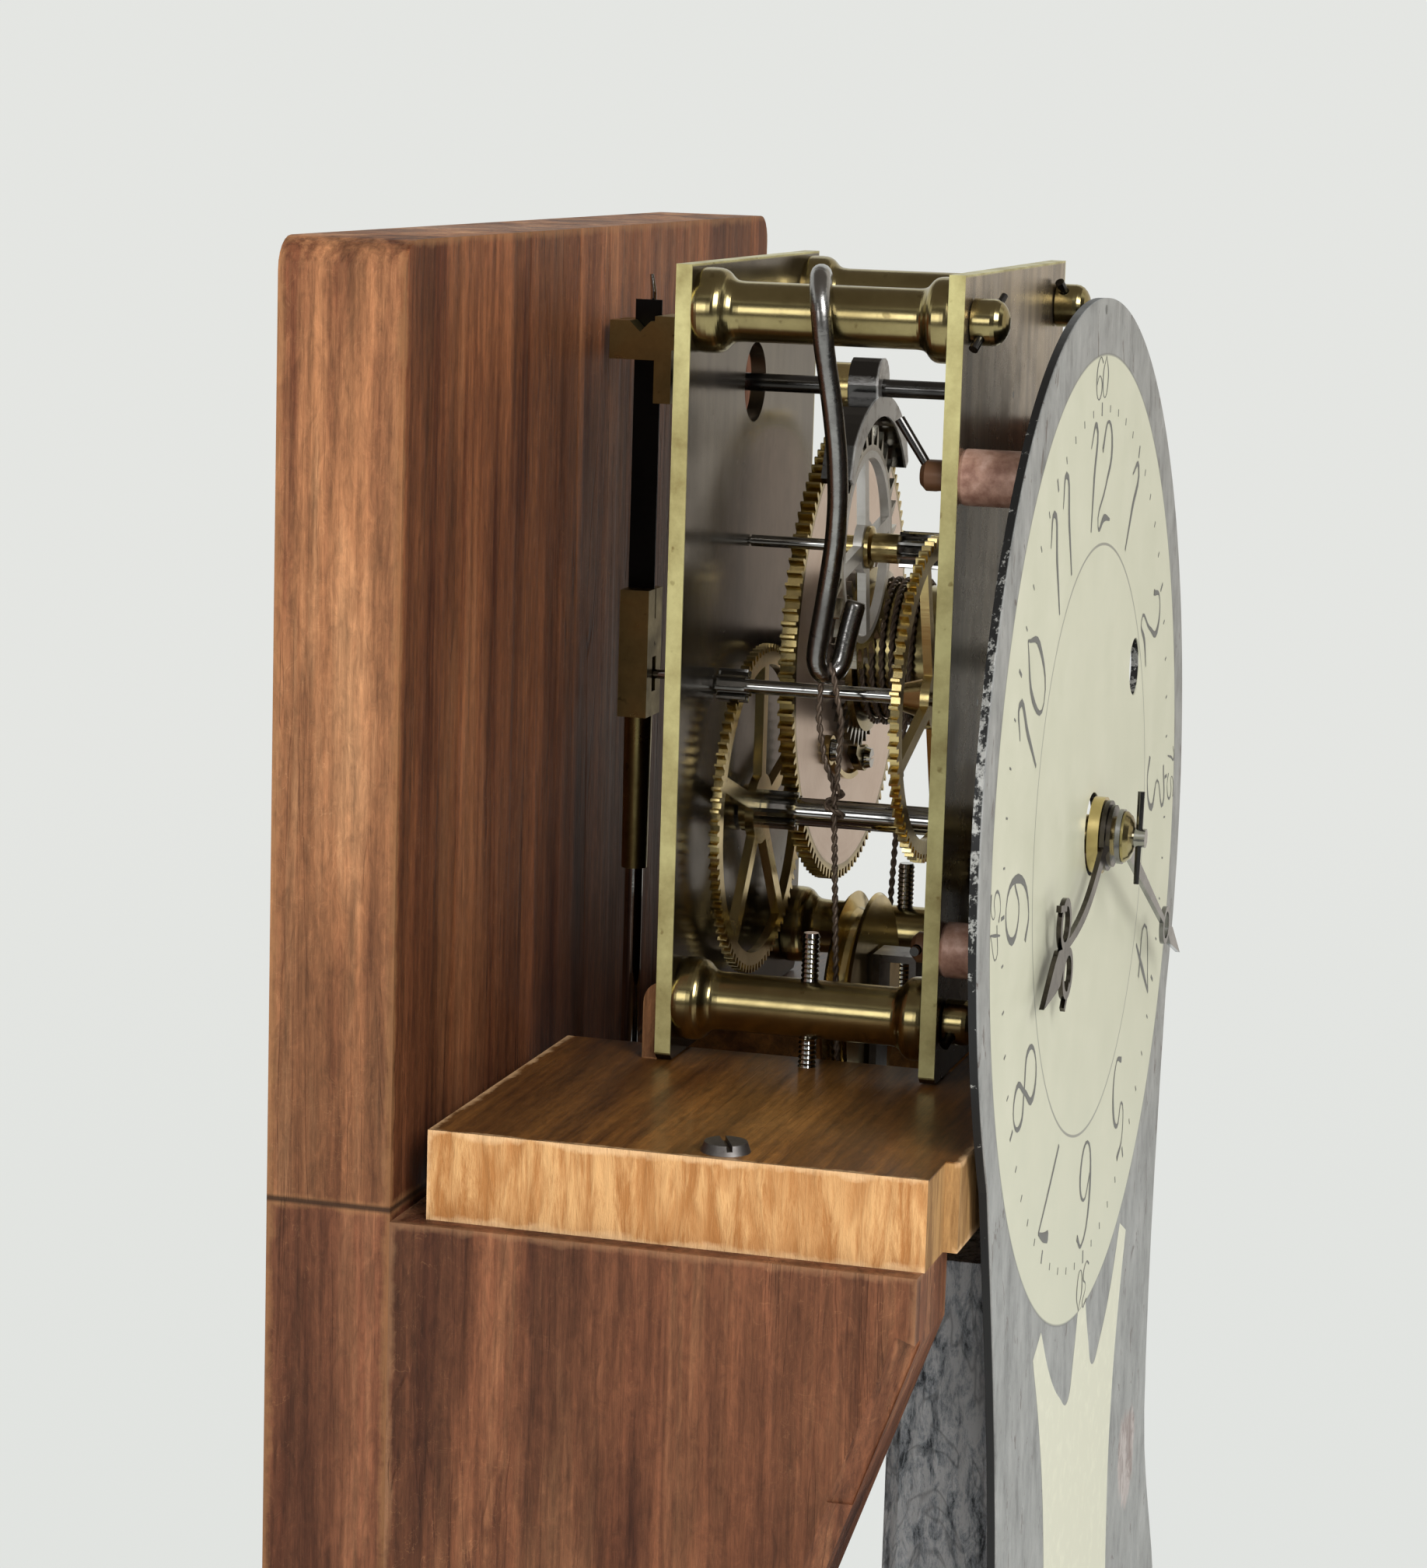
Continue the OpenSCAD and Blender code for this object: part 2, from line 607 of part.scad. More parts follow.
module minute_wheel() {
    color("goldenrod") on_arbor(motion_x, motion_z, cannon_d + 0.4) difference() {
        union() {
            linear_extrude(1.4) wheel_outline(minute_teeth, motion_m1, 0);
            linear_extrude(6.4) toothed(motion_pinion, motion_m2,
                mesh_phase(motion_dir, hour_teeth, 0, motion_pinion),
                0.7, 1.2, 0.22, 0.16, 0.09);
        }
        translate([0, 0, -1]) cylinder(r = 1.2 + run, h = 10);
    }
}
module hour_wheel() {
    color("goldenrod") on_arbor(0, 0, hour_d) difference() {
        union() {
            linear_extrude(1.4) wheel_outline(hour_teeth, motion_m2, 0);
            cylinder(r = 3.3, h = 64.9 - hour_d);
            translate([0, 0, 60.95 - hour_d]) cylinder(r = 6.4, h = 1.9);
        }
        translate([0, 0, -1]) cylinder(r = 2.3 + run, h = 30);
    }
}

// Hands
hour_hand_d = 63;
minute_hand_d = 65.3;
module ring(r, w) { difference() { circle(r = r); circle(r = r - w); } }
// a bowed stem: t runs from the boss to the loops, side is -1 or 1
hour_bow = 2.4;
function stem(t, side) = [4 + t * (hour_len - 24), hour_bow * sin(180 * t) + side * (1.5 - 0.7 * t)];
module hour_hand() {
    leaf = hour_len;
    color("dimgray") on_arbor(0, 0, hour_hand_d) rotate(90 - hour_a) {
        linear_extrude(0.8) difference() {
            union() {
                circle(r = 5.9);
                polygon(concat([for (t = [0:0.1:1]) stem(t, -1)], [for (t = [1:-0.1:0]) stem(t, 1)]));
                translate([leaf - 21, -0.75]) square([18, 1.5]);
                for (s = [-1, 1]) mirror([0, s > 0 ? 0 : 1]) {
                    translate([leaf - 18.4, 4.6]) ring(4.2, 1.3);
                    translate([leaf - 17.2, 8.2]) rotate(28) square([5, 1.1], center = true);
                }
                polygon([[leaf - 20, 0.6], [leaf - 16, 1.5], [leaf - 12.5, 3.2], [leaf - 9, 2.6],
                    [leaf, 0], [leaf - 9, -2.6], [leaf - 12.5, -3.2], [leaf - 16, -1.5],
                    [leaf - 20, -0.6]]);
            }
            circle(r = 3.3 + fit);
        }
        translate([0, 0, 0.4]) linear_extrude(1.2) difference() {
            circle(r = 5.2);
            circle(r = 3.3 + fit);
        }
    }
}
module minute_hand() {
    tip = minute_len;
    color("dimgray") on_arbor(0, 0, minute_hand_d) rotate(90 - minute_a)
        linear_extrude(0.8) difference() {
            union() {
                circle(r = 4.6);
                polygon([[3, -1.5], [30, -1], [tip - 21.5, -0.6], [tip - 21.5, 0.6], [30, 1],
                    [3, 1.5]]);
                translate([tip - 18.3, 0]) ring(3.4, 1);
                polygon([[tip - 15.5, -0.8], [tip - 11.5, -1.6], [tip, 0], [tip - 11.5, 1.6],
                    [tip - 15.5, 0.8]]);
            }
            circle(r = centre_tip_r + fit);
        }
}
module hand_collet() {
    color("darkgoldenrod") on_arbor(0, 0, minute_hand_d + 0.85) rotate_extrude() polygon(
        [[centre_tip_r + fit, 0], [4.3, 0], [4.3, 0.4], [3.6, 1.2], [2.4, 1.7],
         [centre_tip_r + fit, 1.8]]);
}
pin_depth = 68.6;
module hand_pin() {
    color("dimgray") on_arbor(0, 0, pin_depth) rotate(-4) rotate([90, 0, 0])
        cylinder(r1 = 0.6, r2 = 0.45, h = 15.5, center = true);
}

// Going train
centre_r = 2.4;
centre_tip_r = 1.6;
pinion_centre_d = centre_d + centre_t;
module centre_arbor() {
    dir = atan2(-winding_z, -winding_x);
    color("silver") on_arbor(0, 0, 0) difference() {
        union() {
            disc(1, plate_t + 0.4, -plate_t);
            disc(2, pinion_centre_d - 0.3, 0.3);
            translate([0, 0, pinion_centre_d]) linear_extrude(6.3)
                pinion_outline(great_module, mesh_phase(dir, great_teeth, 0, leaves));
            disc(centre_r, front_d - pinion_centre_d - 6.5, pinion_centre_d + 6.2);
            disc(centre_front_r, plate_t + 0.5, front_d - 0.4);
            disc(centre_tip_r, 69.8 - front_out, front_out);
        }
        translate([0, 0, pin_depth]) rotate(-4) rotate([90, 0, 0])
            cylinder(r = 0.6 + fit, h = 8, center = true);
    }
}
module centre_wheel() {
    color("goldenrod") on_arbor(0, 0, centre_d) linear_extrude(centre_t - fit) difference() {
        wheel_outline(centre_teeth, centre_module, 0);
        crossings(6, pitch_r(centre_teeth, centre_module) - 2.9, 5, 2.6, 18);
        circle(r = 2 + fit);
    }
}
module centre_collet() {
    color("goldenrod") on_arbor(0, 0, 0.4) difference() {
        cylinder(r = 4, h = centre_d - 0.4 - fit);
        translate([0, 0, -1]) cylinder(r = 2 + fit, h = 5);
    }
}
module third_arbor() {
    dir = atan2(third_z, third_x);
    color("silver") on_arbor(third_x, third_z, 0) {
        disc(pivot_r, plate_t + 0.4, -plate_t);
        disc(1.2, front_d - 0.6, 0.3);
        translate([0, 0, 0.5]) linear_extrude(5)
            pinion_outline(centre_module, mesh_phase(dir, centre_teeth, 0, leaves));
        disc(pivot_r, plate_t + 0.4, front_d - 0.4);
    }
}
module third_wheel() {
    color("goldenrod") on_arbor(third_x, third_z, third_d) linear_extrude(third_t) difference() {
        wheel_outline(third_teeth, third_module, 0);
        crossings(5, pitch_r(third_teeth, third_module) - 3, 4, 2.4, 20);
        circle(r = 1.2 + fit);
    }
}
module third_collet() {
    color("goldenrod") on_arbor(third_x, third_z, third_d - 3.7) difference() {
        cylinder(r1 = 2.4, r2 = 3.4, h = 3.7 - fit);
        translate([0, 0, -1]) cylinder(r = 1.2 + fit, h = 6);
    }
}
escape_arbor_r = 1; // thin, so that it passes the rim of the great wheel
escape_hub = escape_d + escape_t + 5.6;
module escape_arbor() {
    dir = atan2(escape_z - third_z, -third_x);
    color("silver") on_arbor(0, escape_z, 0) {
        disc(pivot_r, plate_t + 0.4, -plate_t);
        disc(escape_arbor_r, front_d - 0.6, 0.3);
        translate([0, 0, escape_hub + 0.2]) linear_extrude(39 - escape_hub)
            pinion_outline(third_module, mesh_phase(dir, third_teeth, 0, leaves));
        disc(pivot_r, plate_t + 0.4, front_d - 0.4);
    }
}
module escape_wheel() {
    s = 360 / escape_teeth;
    color("lightgray") on_arbor(0, escape_z, escape_d) linear_extrude(escape_t) difference() {
        polygon([for (i = [0:escape_teeth - 1]) each [
            (escape_r - 3.4) * [cos(i * s), sin(i * s)],
            (escape_r - 1.3) * [cos((i + 0.24) * s), sin((i + 0.24) * s)],
            escape_r * [cos((i + 0.4) * s), sin((i + 0.4) * s)],
            escape_r * [cos((i + 0.46) * s), sin((i + 0.46) * s)],
            (escape_r - 3.4) * [cos((i + 0.42) * s), sin((i + 0.42) * s)]]]);
        crossings(4.4, escape_r - 5.6, 4, 2.6, 10);
        circle(r = 1.9 + fit);
    }
}
module escape_collet() {
    bore = escape_arbor_r + fit;
    hub = escape_hub - escape_d - escape_t;
    color("goldenrod") on_arbor(0, escape_z, escape_d + escape_t) rotate_extrude() polygon(
        [[bore, -5.6], [1.9, -5.6], [1.9, fit], [3.6, fit], [3.6, 0.8], [2.5, 1.2], [2.5, hub],
         [bore, hub]]);
}

// Pallets: the nibs stand clear of the circle of the wheel's teeth through the whole swing
nib_clear = 1.4;
pallet_d = 17;
module pallet_arbor() {
    color("dimgray") on_arbor(0, pallet_z, 0) {
        disc(1.5, front_d - 0.1 + cock_wall - 0.3, 0.3 - cock_wall);
        disc(pivot_r, cock_wall_t + 1, -cock_wall - cock_wall_t);
        disc(pivot_r, plate_t + 0.4, front_d - 0.4);
    }
}
module pallets() {
    d = pallet_z - escape_z;
    r = escape_r + nib_clear;
    arch = r + 3.5;
    color("silver") on_arbor(0, pallet_z, pallet_d) linear_extrude(5.2) difference() {
        polygon(concat([for (a = [0:20:180]) [4 * cos(a), 0.6 + 4.4 * sin(a)]],
            [for (a = [98:6:134]) [0, -d] + arch * [cos(a), sin(a)]],
            [[0, -d] + (r + 1.8) * [cos(147), sin(147)]],
            [for (a = [147:-6:33]) [0, -d] + r * [cos(a), sin(a)]],
            [[0, -d] + (r + 1.8) * [cos(33), sin(33)]],
            [for (a = [46:6:82]) [0, -d] + arch * [cos(a), sin(a)]]));
        circle(r = 1.5 + fit);
    }
}
module pallet_collet() {
    color("goldenrod") on_arbor(0, pallet_z, pallet_d - 3.5) difference() {
        cylinder(r = 4, h = 3.45);
        translate([0, 0, -1]) cylinder(r = 1.5 + fit, h = 6);
    }
}
crutch_z = 21.9;
crutch_r = 0.8;
crutch_d = -10.2;
module crutch() {
    drop = pallet_z - crutch_z;
    color("silver") {
        on_arbor(0, pallet_z, crutch_d - 2) difference() {
            cylinder(r = 3.2, h = 4);
            translate([0, 0, -1]) cylinder(r = 1.5 + fit, h = 6);
        }
        on_arbor(0, pallet_z, crutch_d) rotate([90, 0, 0]) translate([0, 0, 2.6])
            cylinder(r = crutch_r, h = drop - 2.6);
        on_arbor(0, crutch_z, crutch_d) sphere(r = crutch_r);
        on_arbor(0, crutch_z, -21.2) cylinder(r = crutch_r, h = 21.2 + crutch_d);
    }
}

// Winding arbor, great wheel and barrel
winding_r = 3;
module winding_arbor() {
    color("silver") on_arbor(winding_x, winding_z, 0) {
        disc(1.5, plate_t + 0.4, -plate_t);
        disc(2.6, great_d + great_t + 0.3, 0.3);
        disc(winding_r, front_out - great_d - great_t + 1, great_d + great_t);
        translate([-2.3, -2.3, front_out + 0.8]) cube([4.6, 4.6, 12]);
    }
}
module great_wheel() {
    color("goldenrod") on_arbor(winding_x, winding_z, great_d) difference() {
        linear_extrude(great_t) difference() {
            wheel_outline(great_teeth, great_module, 0);
            circle(r = 2.6 + run);
        }
        for (p = [click_at, spring_at]) translate([p[0], p[1], 0.8]) cylinder(r = 1 + fit, h = 5);
    }
}
module ratchet_wheel() {
    s = 360 / ratchet_teeth;
    color("silver") on_arbor(winding_x, winding_z, ratchet_d)
        linear_extrude(ratchet_t - fit) difference() {
            polygon([for (i = [0:ratchet_teeth - 1]) each [
                (ratchet_r - 2.8) * [cos(i * s), sin(i * s)],
                ratchet_r * [cos((i + 0.06) * s), sin((i + 0.06) * s)],
                ratchet_r * [cos((i + 0.12) * s), sin((i + 0.12) * s)],
                (ratchet_r - 2.8) * [cos((i + 0.55) * s), sin((i + 0.55) * s)]]]);
            circle(r = winding_r + fit);
        }
}
module barrel() {
    color("darkgoldenrod") on_arbor(winding_x, winding_z, barrel_d) rotate_extrude() polygon(
        [[winding_r + fit, 0], [barrel_r + 2.6, 0], [barrel_r + 2.6, flange_t - 0.4],
         [barrel_r, flange_t], [barrel_r, barrel_l - flange_t], [barrel_r + 3, barrel_l - flange_t],
         [barrel_r + 3, barrel_l - 0.3], [barrel_r + 2.6, barrel_l], [winding_r + fit, barrel_l]]);
}
// the click lies below the ratchet with its nose between two teeth
click_a = 262;
click_at = [21 * cos(click_a + 22), 21 * sin(click_a + 22)];
spring_at = [23 * cos(click_a - 38), 23 * sin(click_a - 38)];
click_d = great_d + great_t;
module click() {
    nose = (ratchet_r - 1.1) * [cos(click_tooth), sin(click_tooth)];
    side = (ratchet_r + 1.4) * [cos(click_tooth - 3), sin(click_tooth - 3)];
    color("darkgoldenrod") on_arbor(winding_x, winding_z, click_d + 0.3) linear_extrude(1.7)
        difference() {
            union() {
                translate(click_at) circle(r = 2.4);
                polygon([nose, side, click_at + [-1.6, -2], click_at + [1.6, 1.9],
                    (ratchet_r + 0.6) * [cos(click_tooth + 5), sin(click_tooth + 5)]]);
            }
            translate(click_at) circle(r = 1 + run);
        }
}
click_tooth = (floor(click_a * ratchet_teeth / 360) + 0.62) * 360 / ratchet_teeth;
module click_spring() {
    color("goldenrod") on_arbor(winding_x, winding_z, click_d) linear_extrude(1.2) difference() {
        union() {
            translate(spring_at) circle(r = 2.6);
            for (i = [0:11]) hull() for (k = [0, 1]) {
                a = click_a - 38 + (i + k) * 4.4;
                translate((23 - (i + k) * 0.02) * [cos(a), sin(a)]) circle(r = 0.5, $fn = 8);
            }
        }
        translate(spring_at) circle(r = 1 + fit);
        translate(click_at) circle(r = 3.3);
    }
}
module click_screws() {
    color("slategray") {
        on_arbor(winding_x, winding_z, click_d + 2.1) translate(click_at)
            slotted_screw(2, 1, 1, 3.3, 0.5);
        on_arbor(winding_x, winding_z, click_d + 1.25) translate(spring_at)
            slotted_screw(2, 1, 1, 2.6, 0.5);
    }
}

// Pendulum, behind the back plate
module hanging(z) { behind(z) translate([0, strip_y, 0]) children(); }
block_top = 36.5;
block_low = 14.7;
bob_z = swing_z - pendulum_len;
module suspension_strip() {
    color("black") hanging(0) {
        translate([-strip_t / 2, -strip_w / 2, block_top - 5])
            cube([strip_t, strip_w, strip_top - block_top + 5]);
    }
}
module pendulum_block() {
    color("darkgoldenrod") hanging(block_low) difference() {
        translate([-4, -2.55, 0]) cube([8, 5.1, block_top - block_low]);
        translate([-strip_t / 2 - fit, -3, block_top - block_low - 5.1])
            cube([strip_t + 2 * fit, 6, 6]);
        translate([-crutch_r - 0.25, -4, crutch_z - block_low - 3])
            cube([2 * crutch_r + 0.5, 8, 6]);
        translate([0, 0, -1]) cylinder(r = rod_d / 2 + fit, h = 4);
    }
}
module pendulum_ferrule() {
    color("darkgoldenrod") hanging(-11.9) difference() {
        cylinder(r1 = 2.2, r2 = 2.4, h = block_low + 11.9 - fit);
        translate([0, 0, -1]) cylinder(r = rod_d / 2 + fit, h = 40);
    }
}
module pendulum_rod() {
    color("silver") hanging(bob_z - bob_d / 2 - 14)
        cylinder(r = rod_d / 2, h = block_low + 2.9 - bob_z + bob_d / 2 + 14);
}
module pendulum_bob() {
    color("goldenrod") hanging(bob_z) difference() {
        rotate([90, 0, 0]) rotate_extrude() polygon(concat([[0, -bob_t / 2]],
            [for (a = [-80:16:80]) [bob_d / 2 * pow(cos(a), 0.7), bob_t / 2 * sin(a)]],
            [[0, bob_t / 2]]));
        translate([0, 0, -bob_d]) cylinder(r = rod_d / 2 + run, h = 2 * bob_d);
    }
}
module rating_nut() {
    color("goldenrod") hanging(bob_z - bob_d / 2 - 6.3) difference() {
        cylinder(r = 6, h = 6);
        translate([0, 0, -1]) cylinder(r = rod_d / 2 + run, h = 8);
    }
}

// Weight, pulley and line
pulley_x = -4;
pulley_z = -31.4;
line_gap = 0.2;
module pulley() {
    rim = groove_r - line_d / 2 - line_gap;
    color("goldenrod") on_arbor(pulley_x, pulley_z, line_y_d - pulley_w / 2) rotate_extrude()
        polygon([[1.5 + run, 0], [pulley_r - 0.4, 0], [pulley_r, 0.5], [rim + 0.6, 1.1],
            [rim, pulley_w / 2 - 0.5], [rim, pulley_w / 2 + 0.5], [rim + 0.6, pulley_w - 1.1],
            [pulley_r, pulley_w - 0.5], [pulley_r - 0.4, pulley_w], [1.5 + run, pulley_w]]);
}
cheek_in = pulley_w / 2 + 0.5;
cheek_t = 1.2;
strap_w = 8;
strap_low = pulley_r + 3.4;
weight_top = -66;
weight_y = 47.4; // depth of the middle of the weight
module pulley_stirrup() {
    color("slategray") {
        on_arbor(pulley_x, pulley_z, line_y_d - cheek_in - cheek_t) {
            disc(1.5, 2 * (cheek_in + cheek_t));
            for (q = [[0, 4], [2 * cheek_in + cheek_t, 9.5]]) translate([0, 0, q[0]]) {
                translate([-strap_w / 2, -strap_low, 0]) cube([strap_w, strap_low + q[1], cheek_t]);
            }
            translate([-strap_w / 2, -strap_low - cheek_t, 0])
                cube([strap_w, cheek_t + eps, 2 * (cheek_in + cheek_t)]);
            translate([-strap_w / 2, 8.3, 2 * cheek_in + cheek_t]) cube([strap_w, cheek_t, 7.5]);
            translate([-strap_w / 2, 1, 2 * cheek_in + cheek_t + 6.3]) cube([strap_w, 8.5, cheek_t]);
        }
        hanger = weight_y - line_y_d;
        on_arbor(pulley_x, pulley_z - strap_low - cheek_t, line_y_d) {
            translate([-2, -1.6, -2]) cube([4, 1.6 + eps, hanger + 4]);
            translate([-2, -12, hanger - 2]) cube([4, 12, 4]);
        }
    }
}
module weight() {
    c = 3; // flats along the upright edges of the casting
    w = weight_w / 2;
    t = weight_t / 2;
    socket = -12 + (pulley_z - strap_low - cheek_t) - weight_top;
    color("gray") translate([pulley_x, plate_y - weight_y, arbor_z + weight_top - weight_h])
        difference() {
            linear_extrude(weight_h) polygon([[-w + c, -t], [w - c, -t], [w, -t + c], [w, t - c],
                [w - c, t], [-w + c, t], [-w, t - c], [-w, -t + c]]);
            translate([-2 - fit, -2 - fit, weight_h + socket - fit])
                cube([4 + 2 * fit, 4 + 2 * fit, 20]);
        }
}

// smooth path through points, with n steps between each pair
function spline(p, n) = concat([for (i = [0:len(p) - 2]) for (k = [0:n - 1])
    let (a = p[max(i - 1, 0)], b = p[i], c = p[i + 1], d = p[min(i + 2, len(p) - 1)], t = k / n)
    0.5 * (2 * b + (c - a) * t + (2 * a - 5 * b + 4 * c - d) * t * t
        + (3 * b - a - 3 * c + d) * t * t * t)], [p[len(p) - 1]]);
function place(p) = [p[0], plate_y - p[1], arbor_z + p[2]];

// wire hook over the upper left pillar: a round turn, a bowed leg, a tight bend and a
// turned up end; points are x, depth and height above the centre arbor
hook_turn = pillar_r + hook_d / 2 + 0.15;
hook_leg = [[-39.5, 21.7, 81.5], [-37.7, 22.2, 76.5], [-36.4, 22.9, 70.5], [-35, 23.4, 64],
    [-33.4, 23.4, 57], [-31.5, 22.7, 50], [-29.7, 21.5, 43.5], [-28.4, 20.2, 36.5]];
hook_bend = [-25.9, 20.85, 29.3];
hook_bend_r = hook_d / 2 + line_d / 2 + 0.2;
across = [0.64, 0.768]; // the plane of the bend, as x and depth
hook_tip = [[-24.1, 23.4, 34], [-23.6, 24.6, 39.4]];
hook_path = [for (p = spline(concat(
    [for (a = [-20:20:180]) [hook_turn * cos(a) - pillar_x, 17 + 4.4 * (a + 20) / 200,
        pillar_top_z + hook_turn * sin(a)]],
    hook_leg,
    [for (a = [180:30:360]) hook_bend
        + hook_bend_r * [across[0] * cos(a), across[1] * cos(a), sin(a)]],
    hook_tip), 2)) place(p)];
module line_hook() { color("dimgray") bar(hook_path, hook_d / 2, 14, [0, 0, 1]); }

// weight line: tied at the knot, over the hook, under the pulley and onto the barrel
knot = [-22.2, 21.6, 8];
knot_l = 5.2;
knot_turn = 540;
knot_a = 155;
wrap_r = line_d + 0.5;
wound_turns = 5;
wound_r = barrel_r + line_d / 2 + line_gap;
wound_pitch = line_d + 0.55;
pulley_c = [pulley_x, pulley_z];
barrel_c = [winding_x, winding_z];
knot_c = [knot[0], knot[2]];
// crossing tangent from the right of the pulley to the left of the barrel
line_up = barrel_c - pulley_c;
line_up_a = atan2(line_up[1], line_up[0]) + asin((groove_r + wound_r) / norm(line_up));
leave_pulley = pulley_c + groove_r * [sin(line_up_a), -cos(line_up_a)];
meet_barrel = barrel_c - wound_r * [sin(line_up_a), -cos(line_up_a)];
// tangent from the knot to the left of the pulley
line_down = pulley_c - knot_c;
line_down_a = atan2(line_down[1], line_down[0]) - asin(groove_r / norm(line_down));
meet_pulley = pulley_c + groove_r * [sin(line_down_a), -cos(line_down_a)];
function at_depth(p, d) = [p[0], d, p[1]];
start_a = atan2(meet_pulley[1] - pulley_z, meet_pulley[0] - pulley_x);
end_a = atan2(leave_pulley[1] - pulley_z, leave_pulley[0] - pulley_x);
round_a = end_a - start_a - 360 * floor((end_a - start_a) / 360);
run_down = unit(at_depth(meet_pulley, line_y_d) - knot);
loop_c = hook_bend - [0, 0, hook_bend_r];
loop_r = hook_d / 2 + line_d / 2 + 0.15;
tie_points = concat(
    // turns of the tail about the straight run
    [for (a = [0:30:knot_turn]) knot + knot_l * (1 - a / knot_turn) * run_down
        + wrap_r * [cos(a + knot_a - knot_turn), sin(a + knot_a - knot_turn), 0]],
    // up to the hook, through its bend and down again
    [[-24.8, 22.8, 13], [-26.6, 23.6, 20]],
    [for (a = [180:-30:0]) loop_c + loop_r * [across[1] * cos(a), -across[0] * cos(a), sin(a)]],
    [[-23.6, 18.9, 20], [-23, 20, 13], knot + [0, 0, 0.6]],
    // straight run to the pulley
    [for (t = [0.2, 0.5, 0.8]) at_depth(knot_c + t * (meet_pulley - knot_c),
        knot[1] + t * (line_y_d - knot[1]))],
    [for (i = [0:12]) let (a = start_a + round_a * i / 12)
        at_depth(pulley_c + groove_r * [cos(a), sin(a)], line_y_d)],
    [for (t = [0.33, 0.66]) at_depth(leave_pulley + t * (meet_barrel - leave_pulley), line_y_d)]);
wound_points = [for (i = [0:wound_turns * 24]) let (a = line_up_a + 90 - i * 15)
    at_depth(barrel_c + wound_r * [cos(a), sin(a)], line_y_d - wound_pitch * i / 24)];
line_points = [for (p = concat(tie_points, wound_points)) place(p)];

// least gap of the line to itself, on points a millimetre apart and two turns of the coil
function even(p, step) = [for (i = [0:len(p) - 2])
    let (n = ceil(norm(p[i + 1] - p[i]) / step)) for (k = [0:n - 1]) p[i] + k / n * (p[i + 1] - p[i])];
function so_far(p) = [for (i = 0, s = 0; i < len(p);
    s = s + norm(p[min(i + 1, len(p) - 1)] - p[i]), i = i + 1) s];
module weight_line() {
    p = even(concat(tie_points, [for (i = [0:48]) wound_points[i]]), 1);
    s = so_far(p);
    near = min([for (i = [0:len(p) - 1]) for (j = [i + 1:len(p) - 1])
        if (s[j] - s[i] > 3 * line_d) norm(p[i] - p[j])]);
    echo(least_gap_of_weight_line = near - line_d);
    color("rosybrown") bar(line_points, line_d / 2, 6, [0, 1, 0]);
}

base_board();
backboard_lower();
backboard_upper();
bracket_left();
bracket_right();
stand_screws();
seat_board();
packing_blocks();
seat_screws();
back_plate();
front_plate();
pillars_top();
pillars_bottom();
pillar_pins();
hold_down_bolts();
back_cock();
cock_screws();
suspension_pin();
dial_posts();
dial_post_pins();
dial_plate();
motion_stud();
line_hook();
weight_line();
great_wheel();
click_spring();
click_screws();
click();
winding_arbor();
barrel();
ratchet_wheel();
centre_arbor();
centre_wheel();
centre_collet();
cannon_pinion();
minute_hand();
hand_collet();
hand_pin();
third_arbor();
third_wheel();
third_collet();
escape_arbor();
escape_wheel();
escape_collet();
pallet_arbor();
pallets();
pallet_collet();
crutch();
minute_wheel();
hour_wheel();
hour_hand();
suspension_strip();
pendulum_block();
pendulum_ferrule();
pendulum_rod();
pendulum_bob();
rating_nut();
pulley_stirrup();
weight();
pulley();
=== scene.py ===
# Shelf clock out of its case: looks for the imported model. Metres, the dial faces -Y.
from math import asin, atan2, cos, pi, radians, sin, tan
import bmesh
import bpy
from mathutils import Matrix, Vector


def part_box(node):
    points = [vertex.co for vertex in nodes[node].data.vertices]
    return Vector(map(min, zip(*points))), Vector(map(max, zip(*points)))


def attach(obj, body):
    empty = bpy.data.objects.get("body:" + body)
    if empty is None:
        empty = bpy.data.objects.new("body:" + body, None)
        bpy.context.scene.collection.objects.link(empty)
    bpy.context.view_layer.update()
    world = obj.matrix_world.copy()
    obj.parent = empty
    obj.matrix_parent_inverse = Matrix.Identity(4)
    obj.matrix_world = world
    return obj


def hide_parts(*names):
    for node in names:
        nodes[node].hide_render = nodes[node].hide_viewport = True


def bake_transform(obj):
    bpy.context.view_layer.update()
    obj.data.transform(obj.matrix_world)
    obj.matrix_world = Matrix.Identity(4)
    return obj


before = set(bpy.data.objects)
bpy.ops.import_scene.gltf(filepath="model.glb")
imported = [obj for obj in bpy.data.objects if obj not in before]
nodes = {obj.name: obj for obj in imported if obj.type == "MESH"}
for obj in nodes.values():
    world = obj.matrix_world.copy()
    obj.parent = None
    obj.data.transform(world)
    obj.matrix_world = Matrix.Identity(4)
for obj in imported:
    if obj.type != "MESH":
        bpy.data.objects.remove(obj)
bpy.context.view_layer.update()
mm = 0.001
arborZ = 0.4      # the centre arbor above the shelf
plateY = 0.0161   # inner face of the back plate
print("frame loaded:", len(nodes), "nodes")


# camera: where the photographer stood
cameraPlace = dict(at=(-0.6636, -0.1656, 0.5187), yaw=15.73, pitch=9.48, roll=1.73, lens=93.77,
                   sensor=36, near=0.02)


def makeCamera(s):
    yaw, pitch, roll = radians(s["yaw"]), radians(s["pitch"]), radians(s["roll"])
    look = Vector((cos(yaw) * cos(pitch), sin(yaw) * cos(pitch), -sin(pitch)))
    right = Vector((sin(yaw), -cos(yaw), 0))
    up = right.cross(look)
    side = cos(roll) * right + sin(roll) * up
    top = cos(roll) * up - sin(roll) * right
    data = bpy.data.cameras.new("camera")
    data.sensor_width = s["sensor"]
    data.lens = s["lens"]
    data.clip_start = s["near"]
    camera = bpy.data.objects.new("camera", data)
    camera.matrix_world = Matrix.Translation(s["at"]) @ Matrix((side, top, -look)).transposed().to_4x4()
    bpy.context.scene.collection.objects.link(camera)
    bpy.context.scene.camera = camera


makeCamera(cameraPlace)


